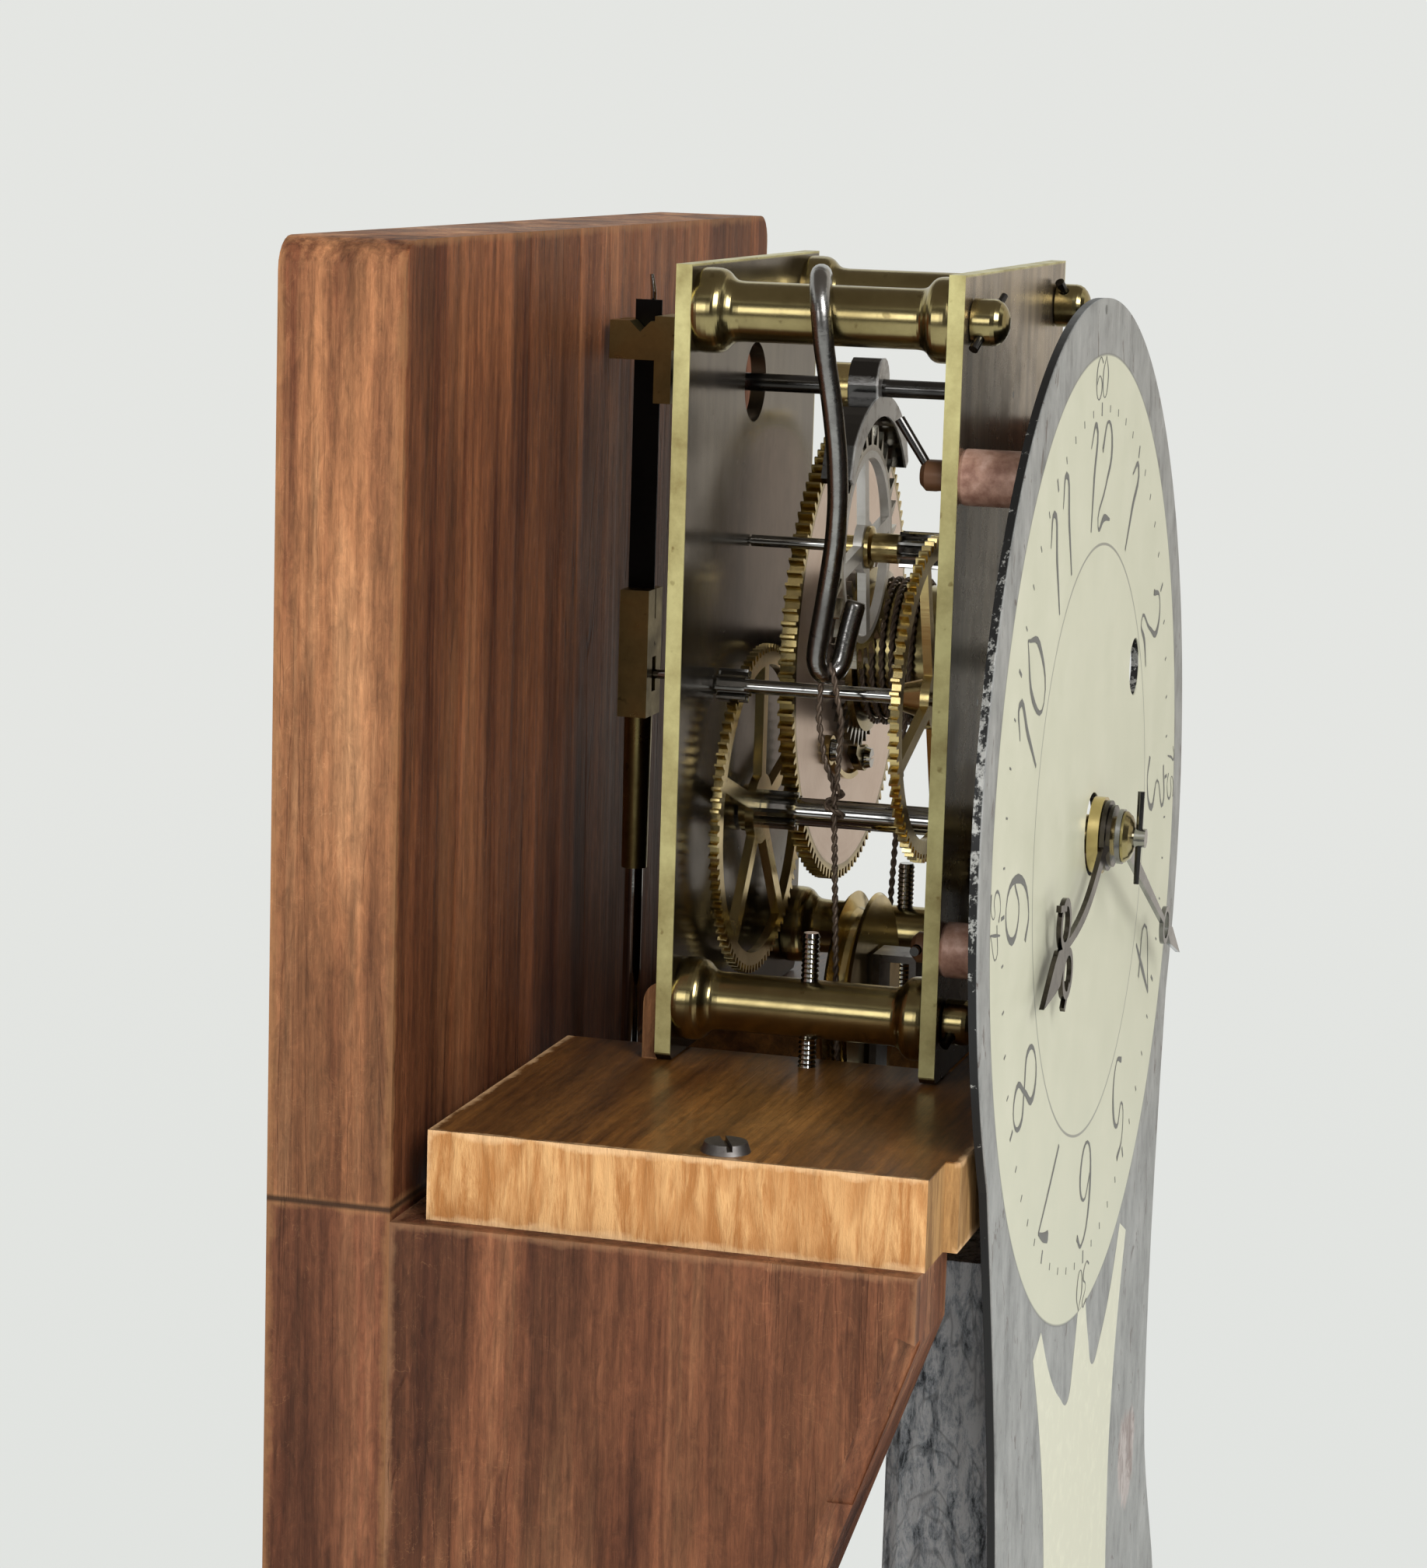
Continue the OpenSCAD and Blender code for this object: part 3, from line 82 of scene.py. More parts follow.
# small helpers for shader trees
def fill(tree, node, sockets):
    for name, value in sockets.items():
        socket = node.inputs[name]
        if isinstance(value, bpy.types.NodeSocket):
            tree.links.new(value, socket)
        elif socket.type == "RGBA":
            socket.default_value = (*value, 1)
        else:
            socket.default_value = value


def put(tree, kind, sockets=None, **settings):
    node = tree.nodes.new(kind)
    for name, value in settings.items():
        setattr(node, name, value)
    fill(tree, node, sockets or {})
    return node


def ramp(tree, fac, stops):
    node = put(tree, "ShaderNodeValToRGB", {"Fac": fac})
    elements = node.color_ramp.elements
    while len(elements) < len(stops):
        elements.new(0.5)
    for element, (at, colour) in zip(elements, stops):
        element.position = at
        element.color = (*colour, 1)
    return node.outputs["Color"]


def grey(tree, fac, low, high, a=0.0, b=1.0):
    node = put(tree, "ShaderNodeMapRange", {"Value": fac, "From Min": low, "From Max": high,
                                            "To Min": a, "To Max": b})
    return node.outputs["Result"]


def mix(tree, fac, a, b, blend="MIX"):
    node = put(tree, "ShaderNodeMix", data_type="RGBA", blend_type=blend)
    for name, value in (("Factor", fac), ("A", a), ("B", b)):
        socket = [k for k in node.inputs if k.name == name and k.enabled][0]
        if isinstance(value, bpy.types.NodeSocket):
            tree.links.new(value, socket)
        else:
            socket.default_value = value if name == "Factor" else (*value, 1)
    return [k for k in node.outputs if k.enabled][0]


def maths(tree, how, *values):
    return put(tree, "ShaderNodeMath", dict(enumerate(values)), operation=how).outputs["Value"]


def vectors(tree, how, *values):
    node = put(tree, "ShaderNodeVectorMath", dict(enumerate(values)), operation=how)
    return node.outputs["Value" if how in ("LENGTH", "DISTANCE") else "Vector"]


def axes(tree, vector):
    return put(tree, "ShaderNodeSeparateXYZ", {"Vector": vector}).outputs


def times(tree, a, b):
    return maths(tree, "MULTIPLY", a, b)


def plus(tree, a, b):
    return maths(tree, "ADD", a, b)


def minus(tree, a, b):
    return maths(tree, "SUBTRACT", a, b)


def apart(tree, a, b):
    return maths(tree, "ABSOLUTE", minus(tree, a, b))


def noise(tree, vector, scale, detail=4.0, rough=0.55, distortion=0.0, stretch=None):
    if stretch:
        vector = put(tree, "ShaderNodeMapping", {"Vector": vector, "Scale": stretch}).outputs["Vector"]
    node = put(tree, "ShaderNodeTexNoise", {"Vector": vector, "Scale": scale, "Detail": detail,
                                            "Roughness": rough, "Distortion": distortion})
    return node.outputs["Fac"]


def newGroup(name, inputs, outputs):
    group = bpy.data.node_groups.new(name, "ShaderNodeTree")
    for way, sockets in (("INPUT", inputs), ("OUTPUT", outputs)):
        for label, kind in sockets.items():
            group.interface.new_socket(label, in_out=way, socket_type="NodeSocket" + kind)
    start = group.nodes.new("NodeGroupInput")
    end = group.nodes.new("NodeGroupOutput")
    return group, start.outputs, end.inputs


# wood: grain runs along the Z of the vector that comes in; the numbers are the scales of its noises
grainLook = dict(along=(1, 1, 0.05), broad=105, fibre=560, fleck=640, fleckLong=(1, 1, 0.3), blotch=16,
                 blotchLong=(1, 1, 0.5), crack=110, scratch=90, strip=75)


def makeGrain(s):
    g, give, take = newGroup(
        "woodGrain", {"Vector": "Vector", "Dark": "Color", "Mid": "Color", "Light": "Color",
                      "Ring Scale": "Float", "Streaks": "Float"},
        {"Color": "Color", "Height": "Float", "Rough": "Float"})
    along = put(g, "ShaderNodeMapping", {"Vector": give["Vector"], "Scale": s["along"]}).outputs["Vector"]
    rings = noise(g, along, give["Ring Scale"], 9, 0.66, 0.5)
    broad = noise(g, along, s["broad"], 2, 0.5, 0.3)
    fibres = noise(g, along, s["fibre"], 5, 0.75)
    flecks = noise(g, give["Vector"], s["fleck"], 6, 0.78, 0.8, stretch=s["fleckLong"])
    blotch = noise(g, give["Vector"], s["blotch"], 6, 0.7, stretch=s["blotchLong"])
    band = plus(g, rings, times(g, minus(g, blotch, 0.5), 0.45))
    colour = mix(g, grey(g, band, 0.34, 0.5), give["Dark"], give["Mid"])
    colour = mix(g, grey(g, band, 0.52, 0.78), colour, give["Light"])
    crack = apart(g, noise(g, along, s["crack"], 4, 0.6, 0.8), 0.5)
    crack = times(g, grey(g, crack, 0.011, 0.003), grey(g, blotch, 0.45, 0.6, 0.1, 1.0))
    colour = mix(g, times(g, crack, give["Streaks"]), colour, give["Dark"])
    scratch = apart(g, noise(g, give["Vector"], s["scratch"], 3, 0.6, 3.0), 0.5)
    scratch = times(g, grey(g, scratch, 0.007, 0.001), grey(g, blotch, 0.47, 0.6, 0.1, 0.6))
    colour = mix(g, scratch, colour, give["Light"])
    tone = times(g, grey(g, fibres, 0.3, 0.7, 0.55, 1.4), grey(g, flecks, 0.32, 0.68, 0.68, 1.28))
    tone = times(g, tone, grey(g, broad, 0.42, 0.56, 0.82, 1.12))
    strips = grey(g, noise(g, along, s["strip"], 1, 0.4), 0.485, 0.515, 0.84, 1.08)
    tone = times(g, tone, strips)
    scale = put(g, "ShaderNodeVectorMath", {0: colour, 3: tone}, operation="SCALE").outputs[0]
    g.links.new(scale, take["Color"])
    height = plus(g, times(g, fibres, 0.4), times(g, plus(g, broad, strips), 0.9))
    g.links.new(minus(g, height, times(g, crack, 0.25)), take["Height"])
    g.links.new(grey(g, blotch, 0.3, 0.7, 0.66, 0.46), take["Rough"])
    return g


# how near a point is to an edge of an upright box: 1 on the edge, 0 further in than Width
edgeLook = dict(scale=160, reach=4.0)


def makeEdge(s):
    g, give, take = newGroup(
        "boxEdge", {"Vector": "Vector", "Low": "Vector", "High": "Vector", "Width": "Float",
                    "Chips": "Float"}, {"Mask": "Float"})
    low = vectors(g, "SUBTRACT", give["Vector"], give["Low"])
    high = vectors(g, "SUBTRACT", give["High"], give["Vector"])
    part = axes(g, vectors(g, "ABSOLUTE", vectors(g, "MINIMUM", low, high)))
    smaller = maths(g, "MINIMUM", part["X"], part["Y"])
    larger = maths(g, "MAXIMUM", part["X"], part["Y"])
    second = maths(g, "MAXIMUM", smaller, maths(g, "MINIMUM", larger, part["Z"]))
    ragged = minus(g, noise(g, give["Vector"], s["scale"], 4, 0.7), 0.5)
    chips = times(g, ragged, give["Chips"])
    share = plus(g, maths(g, "DIVIDE", second, give["Width"]), times(g, chips, s["reach"]))
    g.links.new(grey(g, share, 1.0, 0.2), take["Mask"])
    return g


# metal: tarnish clouds, fine lines along one way and small spots
patinaLook = dict(lines=900, lineLong=(1, 0.08, 1), spots=420)


def makePatina(s):
    g, give, take = newGroup(
        "patina", {"Vector": "Vector", "Clean": "Color", "Dull": "Color", "Amount": "Float",
                   "Smooth": "Float", "Rough": "Float", "Cloud Scale": "Float"},
        {"Color": "Color", "Rough": "Float", "Height": "Float"})
    cloud = noise(g, give["Vector"], give["Cloud Scale"], 6, 0.65)
    lines = noise(g, give["Vector"], s["lines"], 3, 0.6, stretch=s["lineLong"])
    spots = grey(g, noise(g, give["Vector"], s["spots"], 2, 0.5), 0.68, 0.74)
    amount = times(g, grey(g, cloud, 0.38, 0.68), give["Amount"])
    amount = plus(g, amount, times(g, spots, times(g, give["Amount"], 0.6)))
    amount = maths(g, "MINIMUM", amount, 1.0)
    g.links.new(mix(g, amount, give["Clean"], give["Dull"]), take["Color"])
    even = plus(g, give["Smooth"], times(g, amount, give["Rough"]))
    g.links.new(plus(g, even, times(g, lines, 0.06)), take["Rough"])
    g.links.new(plus(g, times(g, lines, 0.4), times(g, cloud, 0.6)), take["Height"])
    return g


grainGroup = makeGrain(grainLook)
edgeGroup = makeEdge(edgeLook)
patinaGroup = makePatina(patinaLook)


def nodeBox(name):
    low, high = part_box(name)
    return Vector(low), Vector(high)


def place(tree, group, sockets):
    return put(tree, "ShaderNodeGroup", sockets, node_tree=group).outputs


def newMaterial(name):
    material = bpy.data.materials.new(name)
    material.use_nodes = True
    tree = material.node_tree
    surface = tree.nodes["Principled BSDF"]
    where = tree.nodes.new("ShaderNodeTexCoord").outputs["Object"]
    return material, tree, surface, where


def bump(tree, surface, height, strength, distance):
    node = put(tree, "ShaderNodeBump", {"Height": height, "Strength": strength, "Distance": distance})
    fill(tree, surface, {"Normal": node.outputs["Normal"]})


def metalMaterial(name, s):
    material, tree, surface, where = newMaterial(name)
    out = place(tree, patinaGroup, {"Vector": where, "Clean": s["clean"], "Dull": s["dull"],
                                    "Amount": s["amount"], "Smooth": s["smooth"], "Rough": s["rough"],
                                    "Cloud Scale": s.get("cloud", 60.0)})
    fill(tree, surface, {"Base Color": out["Color"], "Roughness": out["Rough"],
                         "Metallic": s.get("metallic", 1.0)})
    bump(tree, surface, out["Height"], s.get("bump", 0.12), s.get("depth", 0.0002))
    return material


metals = {      # clean and dull colours, share of tarnish, roughness of both
    "plateBrass": dict(clean=(0.66, 0.61, 0.28), dull=(0.26, 0.2, 0.065), amount=0.85, smooth=0.28,
                       rough=0.2, cloud=75.0),
    "pillarBrass": dict(clean=(0.42, 0.35, 0.165), dull=(0.2, 0.15, 0.06), amount=0.6, smooth=0.17,
                        rough=0.1, cloud=70.0),
    "wheelBrass": dict(clean=(0.74, 0.6, 0.28), dull=(0.3, 0.21, 0.08), amount=0.5, smooth=0.14,
                       rough=0.22, cloud=90.0),
    "cockBrass": dict(clean=(0.42, 0.34, 0.14), dull=(0.14, 0.1, 0.04), amount=0.8, smooth=0.24, rough=0.3),
    "steel": dict(clean=(0.5, 0.5, 0.49), dull=(0.14, 0.13, 0.12), amount=0.5, smooth=0.04, rough=0.14),
    "softSteel": dict(clean=(0.6, 0.6, 0.585), dull=(0.3, 0.285, 0.265), amount=0.5, smooth=0.1,
                      rough=0.16),
    "darkSteel": dict(clean=(0.12, 0.118, 0.115), dull=(0.04, 0.038, 0.035), amount=0.6, smooth=0.16,
                      rough=0.25),
    "hookSteel": dict(clean=(0.42, 0.415, 0.4), dull=(0.11, 0.1, 0.095), amount=0.75, smooth=0.17,
                      rough=0.2, cloud=55.0, bump=0.35, depth=0.0006),
    "blackStrip": dict(clean=(0.02, 0.02, 0.02), dull=(0.008, 0.008, 0.008), amount=0.6, smooth=0.35,
                       rough=0.3),
    "handBronze": dict(clean=(0.115, 0.1, 0.088), dull=(0.02, 0.017, 0.014), amount=0.8, smooth=0.1,
                       rough=0.16, cloud=130.0),
    "handSteel": dict(clean=(0.34, 0.34, 0.35), dull=(0.09, 0.085, 0.085), amount=0.5, smooth=0.14,
                      rough=0.2),
    "oldIron": dict(clean=(0.36, 0.35, 0.34), dull=(0.09, 0.075, 0.065), amount=0.8, smooth=0.32,
                    rough=0.3),
    "lineBrown": dict(clean=(0.2, 0.15, 0.11), dull=(0.06, 0.04, 0.03), amount=0.7, smooth=0.25,
                      rough=0.3, metallic=0.5, cloud=300.0),
}
finish = {name: metalMaterial(name, settings) for name, settings in metals.items()}


def meshPiece(name, bm):
    mesh = bpy.data.meshes.new(name)
    bm.to_mesh(mesh)
    bm.free()
    piece = bpy.data.objects.new(name, mesh)
    bpy.context.scene.collection.objects.link(piece)
    return piece


def addPiece(name, bm, material, body="stand", smooth=False):
    piece = meshPiece(name, bm)
    for face in piece.data.polygons:
        face.use_smooth = smooth
    piece.data.materials.append(material)
    if body:
        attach(piece, body)
    return piece


def addCurve(bm, curve):
    holder = bpy.data.objects.new(curve.name, curve)
    bpy.context.scene.collection.objects.link(holder)
    bpy.context.view_layer.update()
    mesh = bpy.data.meshes.new_from_object(holder)
    bpy.data.objects.remove(holder)
    bm.from_mesh(mesh)
    bpy.data.meshes.remove(mesh)


# routes: points in mm, as x, distance ahead of the back plate and height over the centre arbor
def toFrame(x, depth, z):
    return Vector((x * mm, plateY - depth * mm, arborZ + z * mm))


def evenly(points, step):
    walk = []
    for a, b in zip(points, points[1:]):
        count = max(1, round((b - a).length / step))
        walk += [a.lerp(b, k / count) for k in range(count)]
    return walk + [points[-1]]


def eased(walk, rounds):
    for _ in range(rounds):
        walk = [walk[0]] + [(a + 2 * b + c) / 4 for a, b, c in zip(walk, walk[1:], walk[2:])] + [walk[-1]]
    return walk


# weight line: two strands laid round each other, along the route of part.scad
hookBend = dict(at=(-25.9, 20.85, 29.3), way=(0.64, 0.768), rod=1.7)
lineLook = dict(diameter=0.0012, strand=0.00032, lay=0.0034, sides=6, step=0.0007, rounds=3,
                pulley=dict(x=-4.0, z=-31.4, r=16.5), barrel=dict(x=36.3575, z=23.7, r=12.8), depth=23.0,
                turns=5, pitch=1.75,
                knot=dict(at=(-22.2, 21.6, 8.0), r=1.7, high=5.2, steps=18, start=-385),
                rise=((-24.8, 22.8, 13), (-26.6, 23.6, 20)), fall=((-23.6, 18.9, 20), (-23, 20, 13)),
                hangs=0.2, loose=0.15, above=0.6)


def lineRoute(s):
    pulley, barrel, knot, depth = s["pulley"], s["barrel"], s["knot"], s["depth"]
    tie, bend = Vector(knot["at"]), Vector(hookBend["at"])
    wayX, wayY = hookBend["way"]
    bendR = hookBend["rod"] + s["diameter"] / mm / 2
    pull, drum, low = Vector((pulley["x"], pulley["z"])), Vector((barrel["x"], barrel["z"])), tie.xz
    up = drum - pull
    upA = atan2(up.y, up.x) + asin((pulley["r"] + barrel["r"]) / up.length)
    side = Vector((sin(upA), -cos(upA)))
    leave, meet = pull + pulley["r"] * side, drum - barrel["r"] * side
    down = pull - low
    downA = atan2(down.y, down.x) - asin(pulley["r"] / down.length)
    reach = pull + pulley["r"] * Vector((sin(downA), -cos(downA)))
    start = atan2(reach.y - pull.y, reach.x - pull.x)
    sweep = (atan2(leave.y - pull.y, leave.x - pull.x) - start) % (2 * pi)
    run = (Vector((reach.x, depth, reach.y)) - tie).normalized()
    points = []
    for k in range(knot["steps"] + 1):       # the end wound round the line
        a = radians(30 * k + knot["start"])
        points.append(tie + knot["high"] * (1 - k / knot["steps"]) * run
                      + knot["r"] * Vector((cos(a), sin(a), 0)))
    points += [Vector(p) for p in s["rise"]]
    for k in range(6, -1, -1):               # over the bend of the hook
        a = radians(30 * k)
        points.append(bend - Vector((0, 0, bendR + s["hangs"]))
                      + (bendR + s["loose"]) * Vector((wayY * cos(a), -wayX * cos(a), sin(a))))
    points += [Vector(p) for p in s["fall"]] + [tie + Vector((0, 0, s["above"]))]
    for t in (0.2, 0.5, 0.8):                # down to the pulley
        flat = low.lerp(reach, t)
        points.append(Vector((flat.x, tie.y + t * (depth - tie.y), flat.y)))
    for k in range(13):                      # round its groove
        a = start + sweep * k / 12
        points.append(Vector((pull.x + pulley["r"] * cos(a), depth, pull.y + pulley["r"] * sin(a))))
    for t in (0.33, 0.66):                   # up to the barrel
        flat = leave.lerp(meet, t)
        points.append(Vector((flat.x, depth, flat.y)))
    for k in range(s["turns"] * 24 + 1):     # and wound on it
        a = upA + pi / 2 - radians(15 * k)
        points.append(Vector((drum.x + barrel["r"] * cos(a), depth - s["pitch"] * k / 24,
                              drum.y + barrel["r"] * sin(a))))
    return [toFrame(*p) for p in points]


def makeLine(s):
    walk = eased(evenly(lineRoute(s), s["step"]), s["rounds"])
    bm = bmesh.new()
    offset = s["diameter"] / 2 - s["strand"]
    for strand in range(2):
        normal, travelled, rings = Vector((0, 1, 0)), 0.0, []
        for k, at in enumerate(walk):
            ahead = walk[min(k + 1, len(walk) - 1)] - walk[max(k - 1, 0)]
            along = ahead.normalized()
            normal = (normal - normal.dot(along) * along).normalized()
            other = along.cross(normal)
            turn = 2 * pi * travelled / s["lay"] + pi * strand
            middle = at + offset * (cos(turn) * normal + sin(turn) * other)
            rings.append([bm.verts.new(middle + s["strand"] * (cos(a) * normal + sin(a) * other))
                          for a in (2 * pi * i / s["sides"] for i in range(s["sides"]))])
            travelled += (walk[min(k + 1, len(walk) - 1)] - at).length
        for one, two in zip(rings, rings[1:]):
            for i in range(s["sides"]):
                n = (i + 1) % s["sides"]
                bm.faces.new((one[i], one[n], two[n], two[i]))
        bm.faces.new(list(reversed(rings[0])))
        bm.faces.new(rings[-1])
    bmesh.ops.recalc_face_normals(bm, faces=bm.faces)
    piece = addPiece("twistedLine", bm, finish["lineBrown"], body=None, smooth=True)
    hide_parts("weight_line")
    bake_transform(piece)


makeLine(lineLook)


# the hook that holds the line: one bent bar, hung over the upper pillar
hookLook = dict(over=(-33.5, 85.9, 6.65), ahead=(17, 4.4), bend=2.5, step=0.0006, rounds=18, end=0.88,
                uneven=0.01, waves=(0.21, 0.083),
                leg=((-39.5, 21.7, 81.5), (-37.7, 22.2, 76.5), (-36.4, 22.9, 70.5), (-35, 23.4, 64),
                     (-33.4, 23.4, 57), (-31.5, 22.7, 50), (-29.7, 21.5, 43.5), (-28.4, 20.2, 36.5)),
                tip=((-24.1, 23.4, 34), (-23.6, 24.6, 39.4)))


def makeHook(s):
    x, z, reach = s["over"]
    ahead, drift = s["ahead"]
    points = [(x + reach * cos(radians(a)), ahead + drift * (a + 20) / 200, z + reach * sin(radians(a)))
              for a in range(-20, 181, 20)]
    points += s["leg"]
    bend, (wayX, wayY) = hookBend["at"], hookBend["way"]
    for a in range(180, 361, 30):
        out, rise = s["bend"] * cos(radians(a)), s["bend"] * sin(radians(a))
        points.append((bend[0] + wayX * out, bend[1] + wayY * out, bend[2] + rise))
    points += s["tip"]
    walk = eased(evenly([toFrame(*p) for p in points], s["step"]), s["rounds"])
    curve = bpy.data.curves.new("hookBar", "CURVE")
    curve.dimensions = "3D"
    curve.bevel_depth = hookBend["rod"] * mm
    curve.bevel_resolution = 6
    curve.use_fill_caps = True
    spline = curve.splines.new("POLY")
    spline.points.add(len(walk) - 1)
    short, long = s["waves"]
    for k, (bead, at) in enumerate(zip(spline.points, walk)):
        bead.co = (*at, 1)
        forged = 1 - s["uneven"] * (1 + sin(k * short) * sin(k * long))
        bead.radius = s["end"] if k in (0, len(walk) - 1) else forged
    bm = bmesh.new()
    addCurve(bm, curve)
    bmesh.ops.remove_doubles(bm, verts=bm.verts, dist=0.00001)
    bmesh.ops.recalc_face_normals(bm, faces=bm.faces)
    for face in bm.faces:
        face.material_index = 1 if len(face.verts) > 4 else 0
    piece = addPiece("lineHookBar", bm, finish["hookSteel"], smooth=True)
    piece.data.materials.append(finish["softSteel"])
    for face in piece.data.polygons:
        if face.material_index == 1:
            face.use_smooth = False
    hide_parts("line_hook")
    print("hook made")


makeHook(hookLook)


# a plate: olive brass on its edges; its face is painted in paler tones that stand for reflections, darker
# towards its foot as painted shade, and streaked as painted reflection
skin = (0.0002, 0.0005)      # where a face gives way to the edge
plates = {
    "backBrass": dict(node="back_plate", high=(0.14, 0.115, 0.08), low=(0.035, 0.026, 0.016), smooth=0.15,
                      reflectStreak=(0.06, 0.045, 0.03), shadeFade=0.03),
    "frontBrass": dict(node="front_plate", high=(0.5, 0.41, 0.3), low=(0.15, 0.11, 0.065), smooth=0.2,
                       reflectStreak=(0.06, 0.045, 0.03), shadeFade=0.03),
}


def plateMaterial(name, s):
    material, tree, surface, where = newMaterial(name)
    edge = metals["plateBrass"]
    out = place(tree, patinaGroup, {"Vector": where, "Clean": edge["clean"], "Dull": edge["dull"],
                                    "Amount": edge["amount"], "Smooth": edge["smooth"],
                                    "Rough": edge["rough"], "Cloud Scale": edge["cloud"]})
    low, high = nodeBox(s["node"])
    part = axes(tree, where)
    across = minus(tree, high.x, maths(tree, "ABSOLUTE", part["X"]))
    inner = maths(tree, "MINIMUM", across, minus(tree, high.z, part["Z"]))
    onFace = grey(tree, inner, *skin)
    streaks = noise(tree, where, 150, 5, 0.65, 0.4, stretch=(1, 1, 0.1))
    # painted shade and painted reflection: the face's tone goes from high down to a darker low at its foot,
    # crossed by streaks
    tone = mix(tree, grey(tree, part["Z"], low.z + s["shadeFade"], high.z - s["shadeFade"]), s["low"], s["high"])
    tone = mix(tree, grey(tree, streaks, 0.4, 0.62, 0.0, 0.55), tone, s["reflectStreak"])
    smoother = times(tree, out["Rough"], s["smooth"] / edge["smooth"])
    fill(tree, surface, {"Base Color": mix(tree, onFace, out["Color"], tone),
                         "Roughness": mix(tree, onFace, out["Rough"], smoother),
                         "Metallic": grey(tree, onFace, 0.0, 1.0, 0.45, 0.92)})
    bump(tree, surface, out["Height"], 0.12, 0.0002)
    return material


# wheels with a pale sanded face inside brighter teeth, painted darker towards the tooth roots as painted
# shade
faces = {
    "greatFace": dict(node="great_wheel", face=(0.95, 0.76, 0.63), grain=(0.78, 0.58, 0.45),
                      teeth=(0.75, 0.6, 0.27), root=(0.07, 0.045, 0.02), deep=0.0027, metallic=0.7,
                      rough=0.3, toothRough=0.22),
    "escapeFace": dict(node="escape_wheel", face=(0.8, 0.785, 0.75), grain=(0.5, 0.48, 0.43),
                       teeth=(0.6, 0.57, 0.48), root=(0.07, 0.045, 0.02), deep=0.0045, metallic=0.45,
                       rough=0.34, toothRough=0.22),
}


def wheelFace(name, s):
    material, tree, surface, where = newMaterial(name)
    low, high = nodeBox(s["node"])
    middle = (low + high) / 2
    flat = vectors(tree, "MULTIPLY", where, (1, 0, 1))
    reach = vectors(tree, "DISTANCE", flat, (middle.x, 0, middle.z))
    rim = (high.z - low.z) / 2 - s["deep"]
    onTeeth = grey(tree, reach, rim, rim + 0.0002)
    turned = put(tree, "ShaderNodeCombineXYZ", {"X": reach}).outputs["Vector"]
    rings = noise(tree, turned, 1500, 3, 0.5)
    cloud = noise(tree, where, 120, 5, 0.65)
    worn = times(tree, grey(tree, cloud, 0.4, 0.62), grey(tree, rings, 0.35, 0.65, 0.5, 1.0))
    colour = mix(tree, times(tree, worn, 0.6), s["face"], s["grain"])
    teeth = mix(tree, grey(tree, cloud, 0.45, 0.7), s["teeth"], tuple(k * 0.5 for k in s["teeth"]))
    # painted shade: the teeth darken towards their roots, where the gaps lie in shade
    root = grey(tree, reach, rim, rim + s["deep"] * 0.7, 0.75, 0.0)
    teeth = mix(tree, root, teeth, s["root"])
    fill(tree, surface, {"Base Color": mix(tree, onTeeth, colour, teeth),
                         "Metallic": grey(tree, onTeeth, 0, 1, s["metallic"], 1.0),
                         "Roughness": grey(tree, onTeeth, 0, 1, s["rough"], s["toothRough"])})
    bump(tree, surface, rings, 0.1, 0.0002)
    return material


# pallets: dark steel with a pale ground front
palletLook = dict(node="pallets", side=(0.09, 0.088, 0.085), front=(0.62, 0.62, 0.61),
                  stain=(0.3, 0.28, 0.26), smooth=0.13, flat=0.34)


def palletMaterial(s):
    material, tree, surface, where = newMaterial("palletSteel")
    low, high = nodeBox(s["node"])
    facing = grey(tree, axes(tree, where)["Y"], low.y + skin[0], low.y + skin[1], 1.0, 0.0)
    cloud = noise(tree, where, 260, 5, 0.7)
    front = mix(tree, grey(tree, cloud, 0.5, 0.68), s["front"], s["stain"])
    fill(tree, surface, {"Base Color": mix(tree, facing, s["side"], front),
                         "Roughness": grey(tree, facing, 0, 1, s["smooth"], s["flat"]),
                         "Metallic": grey(tree, facing, 0, 1, 1.0, 0.6)})
    bump(tree, surface, cloud, 0.15, 0.0002)
    return material


finish["palletSteel"] = palletMaterial(palletLook)
for name, settings in faces.items():
    finish[name] = wheelFace(name, settings)
for name, settings in plates.items():
    finish[name] = plateMaterial(name, settings)


# red wood of the boards and brackets; one seam runs between the two backboards
# foot: the colour the foot of a board or bracket is multiplied by, painted shade
redwood = dict(dark=(0.14, 0.048, 0.021), mid=(0.325, 0.141, 0.061), light=(0.56, 0.3, 0.145), rings=110.0,
               streaks=0.8, front=(0.62, 0.5, 0.44), foot=(0.5, 0.47, 0.47), edge=0.0014, wear=0.4,
               worn=(0.38, 0.19, 0.08), seam=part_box("backboard_upper")[0][2], dirt=(0.02, 0.009, 0.005),
               turn=(0, 0, 0), shift=(0, 0, 0), chips=0.6, bump=0.6)
plain = (1, 1, 1)
woods = {
    "upperBoard": dict(redwood, node="backboard_upper"),
    # the lower backboard: the same wood in darker colours, painted shade lower down
    "lowerBoard": dict(redwood, node="backboard_lower", dark=(0.08, 0.026, 0.012), mid=(0.15, 0.055, 0.026),
                       light=(0.27, 0.125, 0.06), foot=plain, shift=(0.4, 0.2, 0.3)),
    "bracketWood": dict(redwood, node="bracket_left", dark=(0.075, 0.024, 0.011), mid=(0.15, 0.055, 0.025),
                        light=(0.32, 0.15, 0.07), shift=(0.7, 0.1, 0.5), rings=90.0, foot=(0.5, 0.4, 0.35),
                        front=plain, worn=(0.38, 0.2, 0.1), edge=0.0012, wear=0.35),
    "baseWood": dict(redwood, node="base_board", turn=(0, pi / 2, 0)),
    "blockWood": dict(redwood, node="packing_blocks", dark=(0.12, 0.05, 0.02), mid=(0.3, 0.14, 0.06),
                      light=(0.45, 0.24, 0.11), front=plain, foot=plain, edge=0.0003),
}


